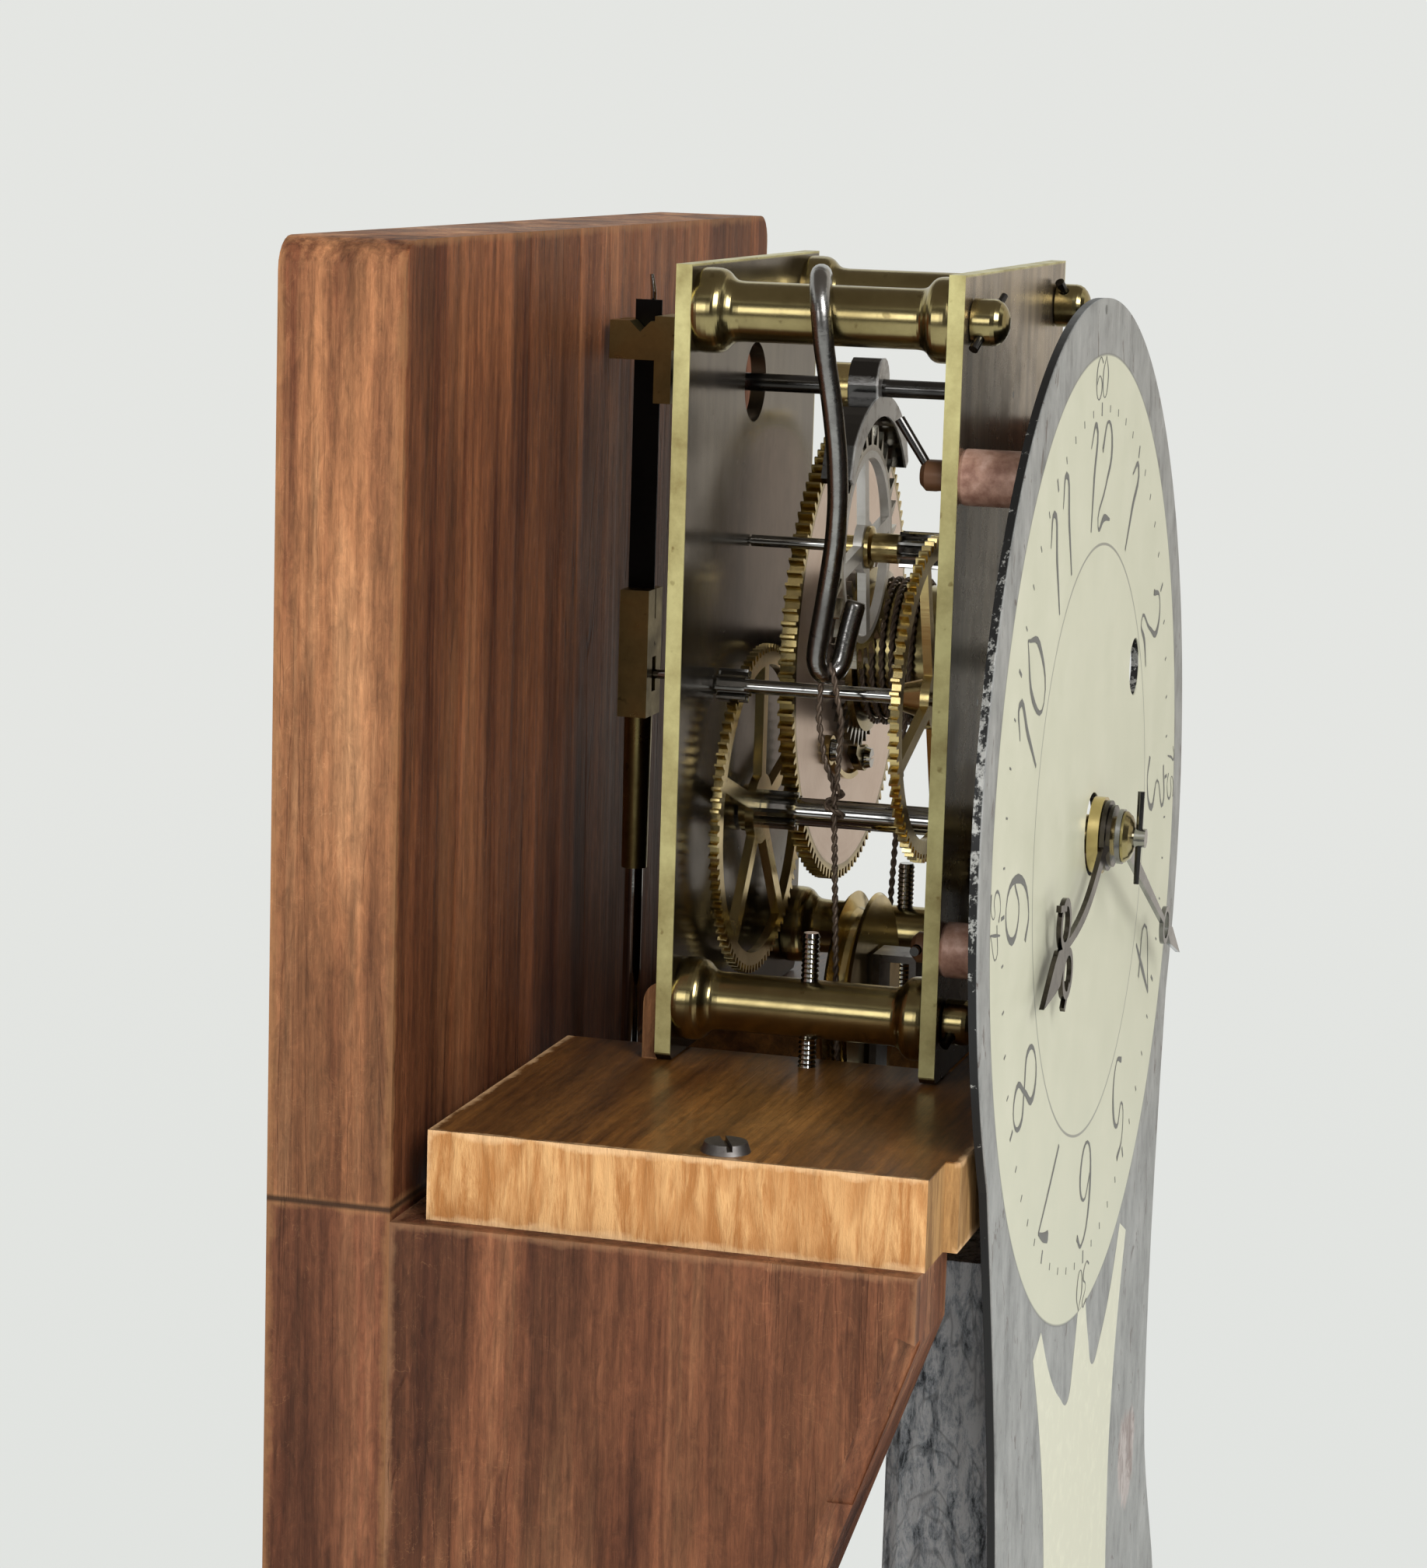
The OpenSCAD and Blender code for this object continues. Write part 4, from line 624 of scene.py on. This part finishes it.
def woodMaterial(name, s):
    material, tree, surface, where = newMaterial(name)
    turn = put(tree, "ShaderNodeMapping", {"Vector": where, "Rotation": s["turn"],
                                           "Location": s["shift"]}).outputs["Vector"]
    out = place(tree, grainGroup, {"Vector": turn, "Dark": s["dark"], "Mid": s["mid"], "Light": s["light"],
                                   "Ring Scale": s["rings"], "Streaks": s["streaks"]})
    colour = out["Color"]
    low, high = nodeBox(s["node"])
    part = axes(tree, where)
    # the face towards -Y is made darker than the sides, and the sides are painted darker lower down,
    # painted shade
    facing = grey(tree, part["Y"], low.y + 0.0004, low.y + 0.001, 1.0, 0.0)
    colour = mix(tree, facing, colour, s["front"], "MULTIPLY")
    shadeFade = grey(tree, part["Z"], low.z, high.z, 1.0, 0.0)
    colour = mix(tree, shadeFade, colour, s["foot"], "MULTIPLY")
    edge = place(tree, edgeGroup, {"Vector": where, "Low": low, "High": high, "Width": s["edge"],
                                   "Chips": s["chips"]})
    colour = mix(tree, times(tree, edge["Mask"], s["wear"]), colour, s["worn"])
    gap = apart(tree, part["Z"], s["seam"])      # dirt in the joint between the boards
    colour = mix(tree, grey(tree, gap, 0.0007, 0.0002, 0.0, 0.85), colour, s["dirt"])
    fill(tree, surface, {"Base Color": colour, "Roughness": out["Rough"], "Specular IOR Level": 0.25})
    bump(tree, surface, out["Height"], s["bump"], 0.0009)
    return material


for name, settings in woods.items():
    finish[name] = woodMaterial(name, settings)


# the seat board: dark varnish on top, pale sawn end grain, brown front
seatLook = dict(dark=(0.1, 0.036, 0.008), mid=(0.2, 0.083, 0.018), light=(0.29, 0.135, 0.034), rings=60.0,
                streaks=0.4, end=(0.64, 0.36, 0.15), endDark=(0.4, 0.17, 0.05), front=(0.44, 0.25, 0.095),
                frontDark=(0.2, 0.1, 0.035), chip=(0.72, 0.46, 0.24), edge=0.0011, chips=0.9, wear=0.75)


def seatMaterial(s):
    material, tree, surface, where = newMaterial("seatWood")
    low, high = nodeBox("seat_board")
    turn = put(tree, "ShaderNodeMapping", {"Vector": where, "Rotation": (0, pi / 2, 0)}).outputs["Vector"]
    out = place(tree, grainGroup, {"Vector": turn, "Dark": s["dark"], "Mid": s["mid"], "Light": s["light"],
                                   "Ring Scale": s["rings"], "Streaks": s["streaks"]})
    part = axes(tree, where)
    ticks = noise(tree, where, 380, 6, 0.75, 0.3, stretch=(1, 1, 0.14))
    arcs = noise(tree, where, 165, 2, 0.5, 0.9, stretch=(1, 1, 0.3))
    sawn = mix(tree, grey(tree, ticks, 0.4, 0.58), s["endDark"], s["end"])
    sawn = mix(tree, grey(tree, arcs, 0.4, 0.56, 0.6, 0.0), sawn, s["endDark"])
    away = maths(tree, "ABSOLUTE", part["X"])
    onEnd = grey(tree, away, high.x - 0.0006, high.x - 0.0003)
    onFront = grey(tree, part["Y"], low.y + 0.003, low.y + 0.0026)
    onSide = grey(tree, part["Z"], high.z - 0.0001, high.z - 0.0004)
    front = mix(tree, grey(tree, ticks, 0.36, 0.6), s["frontDark"], s["front"])
    bareFront = times(tree, onFront, onSide)
    colour = mix(tree, bareFront, out["Color"], front)
    colour = mix(tree, onEnd, colour, sawn)
    edge = place(tree, edgeGroup, {"Vector": where, "Low": low, "High": high, "Width": s["edge"],
                                   "Chips": s["chips"]})
    colour = mix(tree, times(tree, edge["Mask"], s["wear"]), colour, s["chip"])
    bare = maths(tree, "MAXIMUM", onEnd, bareFront)
    fill(tree, surface, {"Base Color": colour, "Roughness": grey(tree, bare, 0.0, 1.0, 0.42, 0.75),
                         "Coat Weight": grey(tree, bare, 0.0, 1.0, 0.12, 0.0), "Coat Roughness": 0.16,
                         "Specular IOR Level": 0.3})
    height = mix(tree, onEnd, times(tree, out["Height"], 0.3),
                 plus(tree, times(tree, ticks, 1.6), times(tree, arcs, 3.0)))
    bump(tree, surface, height, 0.5, 0.0008)
    return material


finish["seatWood"] = seatMaterial(seatLook)


# cast iron of the weight: pale and rough; its lumps are painted from dark hollows to white tops and its
# cracks dark, painted shade and painted highlight
ironLook = dict(low=(0.09, 0.1, 0.11), mid=(0.5, 0.535, 0.57), high=(1.0, 1.0, 1.0),
                stain=(0.14, 0.13, 0.125), creaseShade=(0.05, 0.052, 0.056), rough=0.4)


def ironCasting(s):
    material, tree, surface, where = newMaterial("castIron")
    lumps = noise(tree, where, 430, 9, 0.8, 0.3, stretch=(1, 1, 0.34))
    pits = noise(tree, where, 1100, 4, 0.7, stretch=(1, 1, 0.5))
    broad = noise(tree, where, 60, 3, 0.6, 1.5, stretch=(1, 1, 0.4))
    creaseShade = apart(tree, broad, 0.5)
    # painted shade and painted highlight: the hollows of the lumps dark, their tops white
    colour = ramp(tree, lumps, [(0.37, s["low"]), (0.44, s["mid"]), (0.55, s["high"])])
    stain = grey(tree, noise(tree, where, 30, 3, 0.6), 0.55, 0.7)
    colour = mix(tree, times(tree, stain, 0.3), colour, s["stain"])
    # painted shade in the cracks
    colour = mix(tree, grey(tree, creaseShade, 0.001, 0.02, 0.4, 0.0), colour, s["creaseShade"])
    fill(tree, surface, {"Base Color": colour, "Roughness": s["rough"]})
    bump(tree, surface, plus(tree, lumps, times(tree, pits, 0.4)), 1.0, 0.002)
    return material


# copper paint on the posts of the dial, darker between the plates
copperLook = dict(low=(0.28, 0.14, 0.1), mid=(0.45, 0.26, 0.19), high=(0.66, 0.44, 0.36),
                  inside=(0.11, 0.05, 0.022), frontFace=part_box("front_plate")[1][1])


def copperPaint(s):
    material, tree, surface, where = newMaterial("postCopper")
    cloud = noise(tree, where, 240, 5, 0.65)
    colour = ramp(tree, cloud, [(0.35, s["low"]), (0.5, s["mid"]), (0.7, s["high"])])
    inside = grey(tree, axes(tree, where)["Y"], s["frontFace"] - 0.0002, s["frontFace"] + 0.0002)
    fill(tree, surface, {"Base Color": mix(tree, inside, colour, s["inside"]), "Metallic": 0.25,
                         "Roughness": 0.42})
    bump(tree, surface, cloud, 0.25, 0.0003)
    return material


finish["castIron"] = ironCasting(ironLook)
finish["postCopper"] = copperPaint(copperLook)


# dial: cream paint in a circle with a thin ring, bare grey metal round it, flaked black on its edge
dialLook = dict(centre=-0.001, tilt=1.3, cream=0.0807, ring=0.0494, ringWidth=0.00032, front=0.06075,
                paint=(0.555, 0.555, 0.415), paintWorn=(0.62, 0.61, 0.475), ink=(0.16, 0.155, 0.14),
                bare=(0.235, 0.237, 0.228), bareDark=(0.12, 0.12, 0.115), bareLight=(0.34, 0.34, 0.325),
                scuff=(0.11, 0.09, 0.08), spot=(0.0475, 0.0, -0.122), spotLight=(0.47, 0.4, 0.37),
                spotDark=(0.2, 0.13, 0.11), rim=(0.1, 0.1, 0.09), black=(0.012, 0.012, 0.012),
                flake=(0.55, 0.55, 0.52), flakeZ=0.425)


def dialMaterial(s):
    material, tree, surface, where = newMaterial("dialPaint")
    part = axes(tree, where)
    up = minus(tree, part["Z"], arborZ + s["centre"])
    flat = put(tree, "ShaderNodeCombineXYZ", {"X": part["X"], "Y": 0.0, "Z": up}).outputs["Vector"]
    reach = vectors(tree, "LENGTH", flat)
    cloud = noise(tree, where, 70, 6, 0.7)
    scuffs = noise(tree, where, 300, 4, 0.7, 1.0, stretch=(1, 1, 0.45))
    worn = noise(tree, where, 170, 6, 0.75, stretch=(1, 1, 0.4))
    bare = ramp(tree, worn, [(0.3, s["bareDark"]), (0.48, s["bare"]), (0.7, s["bareLight"])])
    bare = mix(tree, grey(tree, scuffs, 0.6, 0.66), bare, s["scuff"])
    spot = plus(tree, vectors(tree, "DISTANCE", flat, s["spot"]), times(tree, worn, 0.014))
    stain = mix(tree, grey(tree, scuffs, 0.42, 0.6), s["spotLight"], s["spotDark"])
    bare = mix(tree, grey(tree, spot, 0.0165, 0.0145, 0.0, 0.85), bare, stain)
    cream = mix(tree, grey(tree, cloud, 0.35, 0.7), s["paint"], s["paintWorn"])
    off = apart(tree, reach, s["ring"])
    ring = grey(tree, off, s["ringWidth"] * 0.5, s["ringWidth"] * 0.9, 0.75, 0.0)
    cream = mix(tree, ring, cream, s["ink"])
    inside = grey(tree, reach, s["cream"] + 0.00008, s["cream"] - 0.00008)
    rim = apart(tree, reach, s["cream"])
    colour = mix(tree, inside, bare, cream)
    colour = mix(tree, grey(tree, rim, 0.0001, 0.0003, 0.6, 0.0), colour, s["rim"])
    drop = times(tree, up, tan(radians(s["tilt"])))
    behind = minus(tree, part["Y"], plus(tree, drop, plateY - s["front"]))
    edge = grey(tree, behind, 0.00012, 0.0003)
    least = grey(tree, apart(tree, part["Z"], s["flakeZ"]), 0.01, 0.06, 0.49, 0.68)
    flakes = grey(tree, minus(tree, noise(tree, where, 430, 5, 0.75), least), 0.0, 0.08)
    colour = mix(tree, edge, colour, mix(tree, flakes, s["black"], s["flake"]))
    metallic = times(tree, edge, grey(tree, flakes, 0.0, 1.0, 0.3, 0.9))
    fill(tree, surface, {"Base Color": colour, "Roughness": grey(tree, cloud, 0.3, 0.7, 0.32, 0.46),
                         "Metallic": metallic})
    height = plus(tree, times(tree, cloud, 0.3), times(tree, flakes, edge))
    bump(tree, surface, height, 0.2, 0.0003)
    return material


finish["dialPaint"] = dialMaterial(dialLook)

nodeFinish = {
    "upperBoard": ["backboard_upper"], "lowerBoard": ["backboard_lower"],
    "bracketWood": ["bracket_left", "bracket_right"], "baseWood": ["base_board"],
    "seatWood": ["seat_board"], "blockWood": ["packing_blocks"],
    "oldIron": ["stand_screws", "seat_screws", "pulley_stirrup"],
    "backBrass": ["back_plate"], "frontBrass": ["front_plate"],
    "pillarBrass": ["pillars_top", "pillars_bottom", "hand_collet", "barrel", "click"],
    "cockBrass": ["back_cock", "pendulum_block", "pendulum_ferrule"],
    "greatFace": ["great_wheel"], "escapeFace": ["escape_wheel"],
    "wheelBrass": ["centre_wheel", "third_wheel", "centre_collet", "third_collet", "escape_collet",
                   "pallet_collet", "minute_wheel", "hour_wheel", "click_spring", "pendulum_bob",
                   "rating_nut", "pulley"],
    "steel": ["hold_down_bolts", "cock_screws", "suspension_pin", "motion_stud", "click_screws",
              "winding_arbor", "centre_arbor", "cannon_pinion", "third_arbor", "escape_arbor",
              "crutch", "pendulum_rod"],
    "softSteel": ["ratchet_wheel"], "palletSteel": ["pallets"],
    "darkSteel": ["pillar_pins", "dial_post_pins", "hand_pin", "pallet_arbor"], "hookSteel": ["line_hook"],
    "blackStrip": ["suspension_strip"], "handBronze": ["hour_hand"], "handSteel": ["minute_hand"],
    "castIron": ["weight"], "postCopper": ["dial_posts"], "dialPaint": ["dial_plate"],
}
for name, members in nodeFinish.items():
    for member in members:
        nodes[member].data.materials.clear()
        nodes[member].data.materials.append(finish[name])
print("materials set")


# flat paint on the dial: numerals, minute marks, the lower panel
dialPaint = dict(ink=(0.13, 0.13, 0.12), cream=(0.655, 0.645, 0.51), lift=0.00004, slant=0.18,
                 hourAt=0.0608, hourHigh=0.0172, hourPen=0.00042, smallAt=0.077, smallHigh=0.0068,
                 smallPen=0.00016, advance=0.62, inset=0.02, marks=0.0718, markSize=(0.00035, 0.0012),
                 fifthSize=(0.0006, 0.0022), hole=(0.002, 0.088), holeR=0.0008, rough=0.5,
                 smallWide=1.3, panelLift=0.6)
strokes = {     # x, y and pen width of each stroke, in a box one high
    "0": [[(0.3, 1, 0.5), (0.04, 0.5, 1.7), (0.3, 0, 0.5), (0.56, 0.5, 1.7), (0.3, 1, 0.5)]],
    "1": [[(0.08, 0.8, 0.5), (0.3, 1, 1.4), (0.31, 0.5, 1.6), (0.3, 0, 0.8)]],
    "2": [[(0.06, 0.74, 1.4), (0.3, 1, 0.6), (0.55, 0.74, 1.7), (0.32, 0.38, 0.9), (0.03, 0.02, 0.6),
           (0.32, 0.08, 1.6), (0.62, 0.04, 0.6)]],
    "3": [[(0.1, 0.98, 1.2), (0.52, 1, 1.0), (0.27, 0.6, 0.5), (0.57, 0.3, 1.7), (0.3, 0, 0.6),
           (0.04, 0.13, 1.5)]],
    "4": [[(0.44, 1, 0.7), (0.04, 0.34, 0.7), (0.62, 0.34, 1.2)],
          [(0.44, 1, 0.9), (0.44, 0.5, 1.7), (0.44, 0, 0.9)]],
    "5": [[(0.52, 0.98, 1.5), (0.2, 0.96, 0.7), (0.14, 0.6, 0.6), (0.42, 0.66, 0.9), (0.58, 0.34, 1.7),
           (0.3, 0, 0.6), (0.05, 0.16, 1.4)]],
    "6": [[(0.6, 0.86, 1.4), (0.34, 1, 0.7), (0.03, 0.5, 1.8), (0.3, 0, 0.6), (0.6, 0.28, 1.6),
           (0.34, 0.56, 0.6), (0.08, 0.36, 0.8)]],
    "7": [[(0.1, 0.9, 2.6), (0.28, 0.96, 2.0), (0.54, 1, 0.7)],
          [(0.54, 1, 0.7), (0.38, 0.5, 1.0), (0.24, 0, 1.0)]],
    "8": [[(0.3, 0.53, 0.9), (0.08, 0.77, 1.3), (0.3, 1, 0.6), (0.52, 0.77, 1.2), (0.3, 0.53, 1.2),
           (0.02, 0.25, 1.6), (0.3, 0, 0.6), (0.58, 0.25, 1.3), (0.3, 0.53, 0.9)]],
    "9": [[(0.0, 0.14, 1.4), (0.26, 0, 0.7), (0.57, 0.5, 1.8), (0.3, 1, 0.6), (0.0, 0.72, 1.6),
           (0.26, 0.44, 0.6), (0.52, 0.64, 0.8)]],
}


def flatPaint(name, colour, rough):
    material, tree, surface, where = newMaterial(name)
    lighter = tuple(k * 1.12 for k in colour)
    tone = mix(tree, grey(tree, noise(tree, where, 300, 5, 0.7), 0.5, 0.75), colour, lighter)
    fill(tree, surface, {"Base Color": tone, "Roughness": rough})
    return material


def onDial(x, z, lift):
    y = plateY - dialLook["front"] + (z + dialLook["centre"]) * tan(radians(dialLook["tilt"])) - lift
    return Vector((x, y, arborZ + dialLook["centre"] + z))


def penCurve(drawn, pen):
    curve = bpy.data.curves.new("pen", "CURVE")
    curve.dimensions = "3D"
    curve.bevel_depth = pen
    curve.bevel_resolution = 1
    curve.resolution_u = 5
    for stroke in drawn:
        spline = curve.splines.new("BEZIER")
        spline.bezier_points.add(len(stroke) - 1)
        for bead, (x, y, width) in zip(spline.bezier_points, stroke):
            bead.co = (x, y, 0)
            bead.radius = width
            bead.handle_left_type = bead.handle_right_type = "AUTO"
    return curve


# a point that is so far out along a ray of the dial, and so far across it
def onRay(angle, out, across, lift):
    return onDial(out * sin(angle) + across * cos(angle), out * cos(angle) - across * sin(angle), lift)


def writeNumber(bm, text, angle, at, high, pen, wide, s):
    advance = s["advance"] * high * wide
    start = -advance * len(text) / 2
    for order, digit in enumerate(text):
        drawn = [[((wide * x - s["inset"] + s["slant"] * (y - 0.5)) * high, (y - 0.5) * high, width)
                  for x, y, width in stroke] for stroke in strokes[digit]]
        before = len(bm.verts)
        addCurve(bm, penCurve(drawn, pen))
        bm.verts.ensure_lookup_table()
        for vert in bm.verts[before:]:
            across = start + order * advance + vert.co.x
            vert.co = onRay(angle, at + vert.co.y, across, s["lift"] * (1 + vert.co.z / pen))


def makeNumerals(s):
    bm = bmesh.new()
    for hour in range(1, 13):
        writeNumber(bm, str(hour), radians(30 * hour), s["hourAt"], s["hourHigh"], s["hourPen"], 1.0, s)
    for quarter in range(4):
        writeNumber(bm, str((quarter * 15) or 60), radians(90 * quarter), s["smallAt"], s["smallHigh"],
                    s["smallPen"], s["smallWide"], s)
    for minute in range(60):
        wide, tall = s["markSize"] if minute % 5 else s["fifthSize"]
        for vert in bmesh.ops.create_cube(bm, size=1)["verts"]:
            vert.co = onRay(radians(6 * minute), s["marks"] + vert.co.y * tall, vert.co.x * wide,
                            s["lift"] * (1 + vert.co.z))
    x, z = s["hole"]
    for vert in bmesh.ops.create_circle(bm, cap_ends=True, segments=16, radius=s["holeR"])["verts"]:
        vert.co = onDial(x + vert.co.x, z + vert.co.y, s["lift"])
    bmesh.ops.recalc_face_normals(bm, faces=bm.faces)
    piece = addPiece("dialNumerals", bm, flatPaint("dialInk", s["ink"], s["rough"]))


# half of the cream panel below the circle, from its neck round to the foot; 1 marks a sharp corner
panelHalf = [(3.4, -80.6, 1), (6.6, -87.8, 0), (10.9, -93.9, 0), (18, -91.2, 0), (27.2, -84.4, 0),
             (35.1, -75, 1), (41.4, -77.9, 1), (35.5, -90.5, 0), (30.6, -106, 0), (28.6, -125.5, 0),
             (31, -148, 0), (44, -169, 0), (59, -179, 1), (50, -184, 1)]


def makePanel(s):
    curve = bpy.data.curves.new("panel", "CURVE")
    curve.dimensions = "2D"
    curve.fill_mode = "BOTH"
    curve.resolution_u = 8
    outline = panelHalf + [(-x, z, sharp) for x, z, sharp in reversed(panelHalf)]
    spline = curve.splines.new("BEZIER")
    spline.use_cyclic_u = True
    spline.bezier_points.add(len(outline) - 1)
    for bead, (x, z, sharp) in zip(spline.bezier_points, outline):
        bead.co = (x * mm, z * mm, 0)
        bead.handle_left_type = bead.handle_right_type = "VECTOR" if sharp else "AUTO"
    bm = bmesh.new()
    addCurve(bm, curve)
    for vert in bm.verts:
        vert.co = onDial(vert.co.x, vert.co.y, s["lift"] * s["panelLift"])
    for face in [f for f in bm.faces if f.normal.y > 0]:
        face.normal_flip()
    piece = addPiece("dialPanel", bm, flatPaint("panelCream", s["cream"], s["rough"]))


makeNumerals(dialPaint)
makePanel(dialPaint)
print("dial painted")


# light: a pale sheet behind, a dim room ahead and to the right, a soft window to the front left,
# a lamp to the left behind, a weak one low down and one to the right
room = dict(sky=(0.778, 0.789, 0.764), near=(0.75, 0.77, 0.745), strength=0.5, floor=(0.8, 0.8, 0.78),
            wide=9, pale=(0.4, 2.5), glow=(0.18, 0.6, 0.45, 1.0),
            ceiling=dict(wide=2.2, high=2.3, tone=(0.16, 0.14, 0.12)),
            window=dict(at=(-0.9, -0.85, 1.15), aim=(0, 0, 0.42), size=0.7, power=17),
            fill=dict(at=(-1.2, 0.36, 0.68), aim=(0, 0, 0.4), size=0.36, power=1.6),
            low=dict(at=(-0.95, -0.3, 0.28), aim=(0, 0, 0.3), size=0.3, power=2.6),
            side=dict(at=(1.2, -0.6, 0.95), aim=(0, 0, 0.42), size=0.25, power=2.5))
cards = [   # walls that only reflections see, one pale: two corners on the ground, foot, top and shade
    ((1.6, -0.12), (0.5, -2.2), -0.5, 1.6, (0.58, 0.54, 0.48)),
    ((0.5, -2.2), (-1.9, -2.2), -0.5, 1.9, (0.035, 0.03, 0.026)),
    ((-1.9, -2.2), (-1.9, 1.8), -0.5, 1.9, (0.06, 0.055, 0.05)),
    ((-1.9, 1.8), (0.6, 1.9), -0.5, 1.2, (0.035, 0.03, 0.026))]


def makeRoom(s):
    world = bpy.data.worlds.new("room")
    world.use_nodes = True
    tree = world.node_tree
    tree.nodes.clear()
    path = tree.nodes.new("ShaderNodeLightPath").outputs
    seen = maths(tree, "MAXIMUM", path["Is Camera Ray"], path["Is Transmission Ray"])
    seen = maths(tree, "MAXIMUM", seen, path["Is Glossy Ray"])
    dim = put(tree, "ShaderNodeBackground", {"Color": s["sky"], "Strength": s["strength"]})
    shown = put(tree, "ShaderNodeBackground", {"Color": s["sky"], "Strength": 1.0})
    choose = put(tree, "ShaderNodeMixShader", {0: seen, 1: dim.outputs[0], 2: shown.outputs[0]})
    out = tree.nodes.new("ShaderNodeOutputWorld")
    tree.links.new(choose.outputs[0], out.inputs["Surface"])
    bpy.context.scene.world = world
    bpy.context.scene.view_settings.view_transform = "Standard"


def stagePiece(name, bm):
    piece = meshPiece(name, bm)
    material = bpy.data.materials.new(name)
    material.use_nodes = True
    material.node_tree.nodes.clear()
    piece.data.materials.append(material)
    return piece, material.node_tree


def makeFloor(s):
    bm = bmesh.new()
    bmesh.ops.create_grid(bm, x_segments=1, y_segments=1, size=s["wide"])
    floor, tree = stagePiece("floor", bm)
    path = tree.nodes.new("ShaderNodeLightPath").outputs
    where = tree.nodes.new("ShaderNodeTexCoord").outputs["Object"]
    away = vectors(tree, "LENGTH", where)
    matt = put(tree, "ShaderNodeBsdfDiffuse", {"Color": s["floor"]})
    tone = mix(tree, grey(tree, away, *s["pale"]), s["near"], s["sky"])
    glow = put(tree, "ShaderNodeEmission", {"Color": tone, "Strength": 1.0})
    seen = maths(tree, "MAXIMUM", path["Is Camera Ray"], path["Is Glossy Ray"])
    amount = times(tree, seen, grey(tree, away, *s["glow"]))
    choose = put(tree, "ShaderNodeMixShader", {0: amount, 1: matt.outputs[0], 2: glow.outputs[0]})
    out = tree.nodes.new("ShaderNodeOutputMaterial")
    tree.links.new(choose.outputs[0], out.inputs["Surface"])


def addCard(name, bm, tone):
    card, tree = stagePiece(name, bm)
    shade = put(tree, "ShaderNodeEmission", {"Color": tone, "Strength": 1.0})
    out = tree.nodes.new("ShaderNodeOutputMaterial")
    tree.links.new(shade.outputs[0], out.inputs["Surface"])
    card.visible_camera = card.visible_diffuse = False
    card.visible_shadow = card.visible_transmission = False


def makeCards():
    for order, (a, b, foot, top, tone) in enumerate(cards):
        bm = bmesh.new()
        bm.faces.new([bm.verts.new(p) for p in ((*a, foot), (*b, foot), (*b, top), (*a, top))])
        addCard("dimWall%d" % order, bm, tone)


def makeCeiling(s):
    bm = bmesh.new()
    bmesh.ops.create_grid(bm, x_segments=1, y_segments=1, size=s["wide"],
                          matrix=Matrix.Translation((0, 0, s["high"])))
    addCard("ceiling", bm, s["tone"])


def makeLights(s):
    for name in ("window", "fill", "low", "side"):
        light = bpy.data.lights.new(name, "AREA")
        light.size = s[name]["size"]
        light.energy = s[name]["power"]
        lamp = bpy.data.objects.new(name, light)
        lamp.visible_glossy = name in ("window", "fill")
        lamp.location = s[name]["at"]
        lamp.rotation_euler = (Vector(s[name]["aim"]) - lamp.location).to_track_quat("-Z", "Y").to_euler()
        bpy.context.scene.collection.objects.link(lamp)


makeRoom(room)
makeFloor(room)
makeCards()
makeCeiling(room["ceiling"])
makeLights(room)
print("room and lights set")
